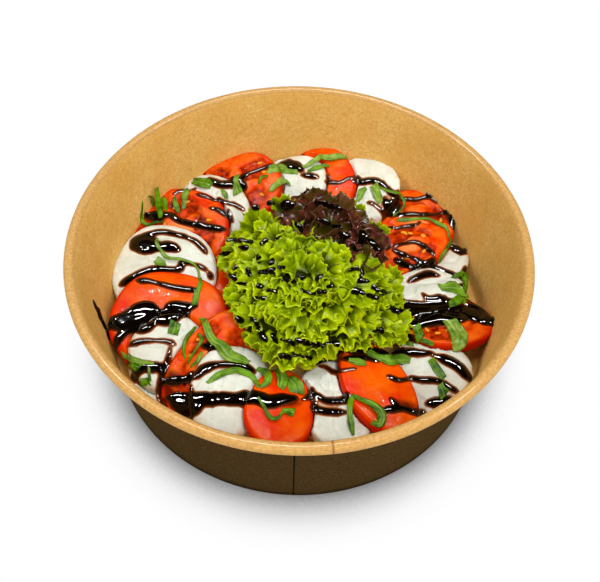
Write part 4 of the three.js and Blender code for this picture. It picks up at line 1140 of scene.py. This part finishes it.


# ---- basil: node, share of pale on its top face (partly the underside turned up, partly painted sheen), lift, then places on the flat map with the strip's width ----
BASIL = [
    ("basil_nw_low", 0, 0.6, (-73.4, 46, 2), (-72.8, 41, 2), (-72.2, 35.4, 2), (-70, 32, 2),
     (-66, 33, 1.8), (-61.6, 34.4, 0.8)),
    ("basil_nw_low", 0.3, 2.5, (-71.4, 49, 1.4), (-69.4, 46.8, 3), (-67.4, 43.4, 1.6)),
    ("basil_nw_low", 0, 2.5, (-63.6, 49.6, 1), (-62.6, 45.4, 2.2), (-61.4, 40.6, 1.2)),
    ("basil_nw_inner", 0.2, 1.5, (-58.8, 50, 1), (-58.2, 46, 2), (-56.6, 42, 2.4), (-55.4, 40.2, 1)),
    ("basil_nw_right", 0.6, 1.2, (-54, 55, 1), (-54.2, 51.4, 4), (-53.8, 46.6, 2), (-53.8, 42.4, 1)),
    ("basil_nnw_piece", 0.1, 0.3, (-51.4, 60.4, 3), (-48, 59, 6), (-44.6, 58.2, 6), (-42.4, 57, 3)),
    ("basil_nnw_spike", 0.6, 1, (-31, 64.8, 0.6), (-31, 60, 2), (-30.4, 56, 3.6), (-29.6, 52.6, 5)),
    ("basil_nnw_spike", 0.3, 0.6, (-37.2, 55.4, 0.8), (-35.4, 51.6, 2.6), (-34.8, 49.2, 1.4)),
    ("basil_n_left", 0, 1.2, (-20.4, 59.6, 1), (-19.4, 62.6, 1.4), (-16.4, 64.4, 1.2)),
    ("basil_n_left", 0.7, 0.8, (-16.2, 66.6, 1.4), (-13.6, 69, 5), (-10.4, 69.4, 5), (-6.6, 67.8, 2.6),
     (-2.2, 67.8, 1)),
    ("basil_n_low", 0.7, 0.4, (-14.6, 54.6, 1.4), (-12.4, 57.8, 4), (-8.8, 60.6, 4.4), (-5.6, 59.8, 2)),
    ("basil_n_back", 0.8, 0.6, (0.6, 71, 1), (4.6, 74.2, 3.6), (9, 77.4, 4), (13.4, 77.8, 4.2),
     (17.6, 79.4, 4), (21, 78.6, 1)),
    ("basil_n_back", 0.1, 0.4, (2.4, 68.4, 1), (7, 71, 2.4), (12.6, 72.2, 1)),
    ("basil_ne_left", 0.6, 0.6, (26, 50.4, 1.4), (27.6, 55, 3.4), (30, 59, 1.6)),
    ("basil_ne_right", 0.8, 0.8, (33.6, 61, 4.6), (34.6, 56.4, 4), (35.8, 52, 3.4), (36.4, 49.4, 1.4)),
    ("basil_ne_right", 0.2, 1.5, (36, 60, 0.8), (40.6, 56.4, 1.4), (45, 54, 1.6), (47.4, 50, 1.2),
     (46.6, 46, 1), (42, 42, 1)),
    ("basil_ne_long", 0.3, 0.8, (43.8, 39.4, 1), (46.6, 39.8, 2.4), (52, 40.4, 1.2), (58, 40.6, 1),
     (62.4, 37.8, 2.4), (65.4, 35.6, 1.6), (66.4, 30.6, 0.9), (66.2, 25, 0.9), (63, 19.4, 0.8),
     (60.8, 15, 0.8)),
    ("basil_e_leaf", 0.3, 0.5, (60.2, 2, 0.6), (63, 1.8, 3), (66, 1.8, 7), (70, 1.5, 8.4)),
    ("basil_e_leaf", 0, 1.5, (66.6, 7.2, 2), (69, 8.6, 3), (71.4, 6.6, 3), (72.6, 3.6, 1.5)),
    ("basil_e_edge", 0, 0.5, (72, -1.5, 1), (70.2, -2.6, 3), (66.6, -5.4, 3.6), (63.2, -8.2, 1.6)),
    ("basil_e_strip", 0, 0.2, (48.8, -18.6, 3.6), (49.8, -21.6, 4), (50.6, -25.2, 4)),
    ("basil_e_broad", 0.9, 0.2, (63, -15.4, 6), (65, -19.2, 7), (66.2, -23.4, 8), (65, -26.8, 6),
     (63, -29.2, 2)),
    ("basil_se_strip", 0.1, 0.3, (42.6, -26.8, 2.4), (47.4, -27.8, 1.6)),
    ("basil_se_strip", 0.1, 0.6, (50.4, -26.2, 1.6), (53, -26.8, 2.6), (55.4, -28.6, 1)),
    ("basil_se_top", 0.2, 0.4, (21, -36, 1.5), (24.6, -37, 4), (28, -37.2, 2.4)),
    ("basil_se_top", 0.2, 0.5, (28.5, -31.8, 1.4), (33, -34.2, 3), (37.8, -35.6, 5.4),
     (42, -35.4, 5.4), (45.8, -35.4, 2)),
    ("basil_se_right", 0, 0.3, (54, -34.4, 3), (56, -38.4, 3.4), (58.6, -43.2, 2.6)),
    ("basil_se_right", 0, 0.3, (56.8, -46, 1), (57.6, -49.2, 4), (58.4, -51.4, 6)),
    ("basil_s_curl", 0, 1.6, (22.8, -51.6, 1), (21.4, -56, 2.4), (21, -60.6, 2.2), (21.6, -65, 2.6),
     (22.4, -69.2, 1)),
    ("basil_s_tail", 0, 1.2, (23, -52.4, 1.6), (27, -54.6, 3), (31, -57, 4), (33.4, -60.8, 4),
     (32.2, -64.8, 3), (29.6, -63.4, 1.4)),
    ("basil_w_stem", 0.5, 1, (-63.6, 24.6, 1), (-63.4, 21, 1.6), (-61, 17.6, 1.6), (-57.4, 13.2, 2),
     (-51.6, 12.4, 1.6), (-46.2, 10.6, 1), (-43.6, 7, 0.9), (-42.6, 2.4, 1)),
    ("basil_w_bit", 0.3, 0.2, (-62.6, 12.4, 3.4), (-60.4, 10.4, 4.6), (-58, 10.2, 2.4)),
    ("basil_w_low", 0, 0.4, (-42.6, 3, 0.8), (-42, 0, 2), (-43.2, -5, 2.4), (-43.4, -11.4, 3)),
    ("basil_sw_square", 0, 0.1, (-50.1, -20.1, 5), (-50.7, -26.4, 4.6)),
    ("basil_sw_long", 0.5, 1, (-39.6, -17.7, 2), (-37.2, -22.2, 3), (-36, -25.8, 3.2),
     (-33.6, -29.4, 4), (-30, -32.4, 5), (-27, -36, 5.2), (-22.2, -37.8, 4), (-19.2, -39, 1)),
    ("basil_sw_long", 0, 1.6, (-42, -22.2, 1.2), (-44.4, -28.2, 1.6), (-45.6, -33, 1.3),
     (-44.4, -37.8, 1)),
    ("basil_sw_long", 0, 2, (-40.2, -25.8, 1), (-38.4, -29.4, 1.6), (-39.6, -33, 1.4),
     (-42, -37.8, 1.4), (-43.2, -40.2, 1)),
    ("basil_sw_long", 0.2, 1.4, (-37.8, -34.2, 1), (-39, -39, 1.6), (-42, -41.4, 1)),
    ("basil_sw_arc", 0.2, 1, (-34.8, -48.6, 1), (-31.8, -46.2, 2.6), (-28.2, -43.8, 2.8),
     (-24, -42.9, 2.8), (-19.8, -43.5, 2.7), (-16.2, -46.2, 2.2), (-14.4, -49.8, 1.2)),
    ("basil_sw_low", 0.5, 0.8, (-69.6, -38.1, 0.8), (-66, -39, 2.4), (-61.2, -40.2, 2.4),
     (-56.4, -40.8, 1.4)),
    ("basil_sw_low", 0, 0.4, (-66.6, -40.8, 2), (-61.8, -43.2, 3.6)),
    ("basil_sw_low", 0, 0.3, (-59.4, -47.4, 3), (-58, -51.4, 4.2)),
    ("basil_sw_low", 0.3, 1.2, (-58.2, -42.6, 0.9), (-57, -48.6, 1)),
    ("basil_s_left", 0.2, 0.5, (-7.2, -40.8, 2.6), (-5.4, -45, 5), (-6, -49.8, 3)),
    ("basil_s_left", 0, 0.9, (-15.6, -41.4, 2), (-11.4, -43.8, 3), (-10.8, -47.4, 3),
     (-13.8, -49.8, 1.4)),
    ("basil_s_right", 0.2, 0.4, (-3, -45, 4), (0, -48.6, 6.4), (0.4, -52, 6)),
    ("basil_s_low", 0, 0.9, (-14.4, -54.6, 0.8), (-11.4, -59.4, 1.4), (-9, -63.6, 1.8), (-6, -63, 1.5),
     (-4.2, -59.4, 1)),
    ("basil_s_low", 0, 0.5, (-5, -59.5, 2), (0, -60.5, 4)),
]
STANDING_BASIL = ((-64.2, 39, 27.4), (-64.6, 42, 29.4), (-65.2, 44.6, 34), (-65.8, 47.2, 38.6))
NARROW_STRIP = 2.0      # a strip narrower than this curls up on itself
BASIL_GAP = 0.6         # between a strip and the wall
BASIL_LIFT = 0.2        # a strip's ends stay this far over the food
BASIL_STEP = 0.6        # between the points of a strip's path


def basil_strip(path, width, pale, seed):
    """A strip of leaf along a path of real places, folded a little, with ends cut aslant."""
    rng = np.random.default_rng(seed)
    run = run_length(path)
    along = unit(np.gradient(path, axis=0))
    side = unit(np.cross([0, 0, 1], along))
    up = np.cross(along, side)
    narrow = width.max() < NARROW_STRIP
    tilt = rng.uniform(-0.3, 0.3) + (0.7 if narrow else 0.25) * noise(run, seed * 5.1, 7, seed)
    tilt = tilt[:, None]
    across = (side * np.cos(tilt) + up * np.sin(tilt))[:, None]
    raised = (up * np.cos(tilt) - side * np.sin(tilt))[:, None]
    v = np.linspace(-1, 1, 13)[None, :]
    cut = width if narrow else np.maximum(width, 0.5 * width.max())
    half = 0.5 * cut[:, None] * (1 + 0.08 * noise(run[:, None] + 20 * v, seed * 2.3, 2.5, seed))
    fold = rng.choice([-1, 1]) * rng.uniform(0.12, 0.3) * (2.2 if narrow else 1)
    ridges = 0.1 * half * np.cos(9 * v + 2 * noise(run[:, None], seed, 5, seed))
    rise = fold * half * np.abs(v) ** 1.5 + ridges
    slant = rng.uniform(-0.6, 0.6) * half * v
    sheet = (path[:, None] + across * (half * v)[..., None] + raised * rise[..., None]
             + along[:, None] * slant[..., None])
    body = thicken(lie_on_food(sheet, seed), LEAF_SHEET)
    shares = np.broadcast_to(v, sheet.shape[:2]).ravel()
    # The underside is fully pale; the top face takes the strip's share of pale, partly the underside turned
    # up and partly painted sheen.
    under = np.concatenate([np.ones(shares.size), np.full(shares.size, float(pale))])
    return body, {"across": np.concatenate([shares, shares]), "under": under}


def lie_on_food(sheet, seed):
    """Keeps a leaf above the food and its glaze, and inside the wall."""
    x, y, z = sheet[..., 0], sheet[..., 1], sheet[..., 2]
    z += 0.4 * noise(x, y, 3.5, seed)
    floor = ground.sample(ground.soft, x, y) + np.maximum(ground.sample(glaze_depth, x, y), 0) + LEAF_SHEET
    z[:] = np.where(np.hypot(x, y) < WALL_LOW, np.maximum(z, floor), z)
    return inside_wall(sheet, BASIL_GAP)


def laid_path(line, lift):
    """A flat map line brought down on the food, smoothed and raised in its middle, and its widths."""
    flat = smooth_line(line, BASIL_STEP)
    x, y = ground.land(flat[:, 0], flat[:, 1])
    path = np.stack([x, y, ground.sample(ground.soft, x, y)], -1)
    for _ in range(5):
        path[1:-1] = (path[:-2] + 2 * path[1:-1] + path[2:]) / 4
    path[:, 2] += BASIL_LIFT + lift * np.sin(np.linspace(0, math.pi, len(path)))
    return path, flat[:, 2]


def build_basil(leaf):
    """Each node's strips as one piece; the tall strip stands up from the others at the left."""
    strips = [(name, *laid_path(line, lift), pale, seed)
              for seed, (name, pale, lift, *line) in enumerate(BASIL, 1)]
    path = smooth_line(STANDING_BASIL, BASIL_STEP)
    width = np.interp(np.linspace(0, 1, len(path)), (0, 0.4, 1), (1.6, 3.4, 0.8))
    strips.append(("basil_nw_tall", path, width, 0, 5))
    heaps = {}
    for name, *strip in strips:
        body, values = basil_strip(*strip)
        heaps.setdefault(name, Batch()).add(body, **values)
    for name, heap in heaps.items():
        dress(heap.build(name + "_leaf"), leaf, "basil", name)


# ---- camera, stage and light -------------------------------------------------------------------------
# name, watts, place and size in metres, colour; gloss lamps show only as highlights, soft ones never
SOFT_LAMPS = (
    ("softbox", 2.4, (0.05, 0.1, 0.8), (0.4, 0.4), (1, 1, 1)),
    ("front", 6.8, (0.3, -0.6, 0.8), (0.6, 0.5), (1, 0.99, 0.97)),
    ("left fill", 1.9, (-0.65, -0.1, 0.6), (0.5, 0.4), (1, 1, 1)),
)
GLOSS_LAMPS = (
    ("overhead", 9.5, (-0.04, 0.2, 0.82), (0.3, 0.05), (1, 1, 1)),
    ("left spark", 4.4, (-0.32, 0.2, 0.7), (0.08, 0.05), (1, 1, 1)),
    ("right spark", 4.4, (0.4, 0.05, 0.75), (0.06, 0.06), (1, 1, 1)),
)
LIT_PLACE = Vector((0, 0, 0.03))
STUDIO_STRENGTH = 0.3
STAGE_HALF = 1500
SHADOW_REACH = 36.0     # how far from the bowl its shadow on the table is felt
SHADOW_TONES = ((0.44, 0.17), (0.85, 1.0), (0.53, 0.37), (0.605, 0.65), (0.66, 0.82), (0.74, 0.95))


def camera_axes():
    p, w, r = math.radians(PITCH), math.radians(YAW), math.radians(TILT)
    forward = Vector((math.sin(w) * math.cos(p), math.cos(w) * math.cos(p), -math.sin(p)))
    right = Vector((math.cos(w), -math.sin(w), 0))
    up = right.cross(forward)
    return forward, right * math.cos(r) + up * math.sin(r), up * math.cos(r) - right * math.sin(r)


def add_camera():
    data = bpy.data.cameras.new("camera")
    data.sensor_width = SENSOR
    data.lens = FOCAL_SHARE * SENSOR
    data.clip_start = 0.01
    camera = bpy.data.objects.new("camera", data)
    bpy.context.scene.collection.objects.link(camera)
    forward, right, up = camera_axes()
    matrix = camera.matrix_world.copy()
    for row in range(3):
        matrix[row][:] = right[row], up[row], -forward[row], EYE[row] * MM
    camera.matrix_world = matrix
    bpy.context.scene.camera = camera


def add_lamp(name, energy, place, size, colour, gloss):
    data = bpy.data.lights.new(name, "AREA")
    data.shape = "RECTANGLE"
    data.size, data.size_y = size
    data.energy, data.color = energy, colour
    lamp = bpy.data.objects.new(name, data)
    bpy.context.scene.collection.objects.link(lamp)
    lamp.visible_glossy, lamp.visible_diffuse = gloss, not gloss
    lamp.location = place
    lamp.rotation_euler = (LIT_PLACE - Vector(place)).to_track_quat("-Z", "Y").to_euler()


def add_floor():
    """A white table that glows evenly, with a painted shadow: its glow darkens close to the bowl, where
    ambient occlusion falls.
    """
    size = STAGE_HALF
    corners = [(-size, -size, 0), (size, -size, 0), (size, size, 0), (-size, size, 0)]
    floor = make_mesh("floor", corners, [(0, 1, 2, 3)])
    paint = Finish("white surface")
    near = paint.node("AmbientOcclusion", Distance=SHADOW_REACH * MM)
    # The glow follows ambient occlusion, so the shadow near the bowl is painted, not cast by the lamps.
    white = paint.ramp(near.outputs["AO"], *[(at, (tone, tone, tone, 1)) for at, tone in SHADOW_TONES])
    paint.set(Base_Color=(0, 0, 0, 1), Specular_IOR_Level=0.0, Emission_Color=white, Emission_Strength=1.0)
    floor.data.materials.append(paint.material)


def add_light():
    world = bpy.data.worlds.new("studio")
    world.use_nodes = True
    background = world.node_tree.nodes["Background"].inputs
    background["Color"].default_value = (1, 1, 1, 1)
    background["Strength"].default_value = STUDIO_STRENGTH
    world.cycles_visibility.glossy = False
    bpy.context.scene.world = world
    for lamp in SOFT_LAMPS:
        add_lamp(*lamp, gloss=False)
    for lamp in GLOSS_LAMPS:
        add_lamp(*lamp, gloss=True)
    bpy.context.scene.view_settings.view_transform = "Standard"


# ---- making the object -------------------------------------------------------------------------------
SEED_TRIES = 26
SEED_RADIUS = 0.75
SEED_LONG = 0.45        # how much longer than round a seed is, to either side
SEED_LIFT = 0.15
COVERED = 0.25          # food this far over a slice hides its seeds
NO_WASH = -2.0


def add_seeds(batch, piece, index):
    """Seeds in the pockets of a cut tomato, where the slice isn't covered."""
    rng = np.random.default_rng(index + 40)
    for _ in range(SEED_TRIES):
        share, t = rng.uniform(0.3, 0.8), rng.uniform(0, CIRCLE)
        x, y = piece.place(share, t)
        top = piece.top_at(x, y, share, t)
        shows = abs(float(ground.sample(ground.z, x, y)) - top) < COVERED
        if piece.pocket(share, t) > 0.6 and shows and rng.uniform() < 0.7:
            turn = t + rng.uniform(-0.6, 0.6)
            along = np.array([math.cos(turn), math.sin(turn), 0])
            film = float(ground.sample(glaze, x, y))
            place = np.array([x, y, top + SEED_LIFT])
            body = blob(place, np.array([0, 0, 1.0]), along, SEED_RADIUS, SEED_LONG, share)
            batch.add(body, share=0.5, pocket=0.0, film=film, wash=NO_WASH, seed=1.0)


def build_slice(piece, index, finish):
    grid, shares, pockets = slice_grid(piece, index)
    body = closed_loft(grid)
    x, y = body[0][:, 0], body[0][:, 1]
    batch = Batch()
    batch.add(body, share=shares, pocket=pockets, film=ground.sample(glaze, x, y),
              wash=ground.sample(washes, x, y), seed=0.0)
    if piece.pockets:
        add_seeds(batch, piece, index)
    slot = "tomato" if piece.tomato else "mozzarella"
    dress(batch.build(piece.name + "_slice"), finish, slot, piece.name)


def build_all():
    syrup = paint_glaze()
    dress(build_drizzle(), syrup, "tomato")
    cheese, skin, cut = paint_mozzarella(), paint_tomato(False), paint_tomato(True)
    for index, piece in enumerate(SLICES):
        finish = (cut if piece.pockets else skin) if piece.tomato else cheese
        build_slice(piece, index, finish)
    bowl = dress(build_bowl(), paint_paper(), "kraft_paper", "bowl")
    green, red = paint_green(), paint_red()
    heart = build_green("lettuce_green_heart", 0, HEART_LEAVES, 7)
    outer = build_green("lettuce_green_outer", HEART_LEAVES, HEAP_LEAVES, 8)
    heap = [dress(heart, green, "lettuce_green", "lettuce_green"),
            dress(outer, green, "lettuce_green", "lettuce_green"),
            dress(build_red(), red, "lettuce_red", "lettuce_red")]
    dress(build_drops("balsamic_drops", heap, DROPS, HEAP_LEVEL, UPRIGHT), syrup, "lettuce_red")
    dress(build_drops("balsamic_drip", [bowl], WALL_DRIP, MAP_LEVEL, 0), syrup, "kraft_paper")
    build_basil(paint_basil())


build_all()
add_floor()
add_light()
add_camera()
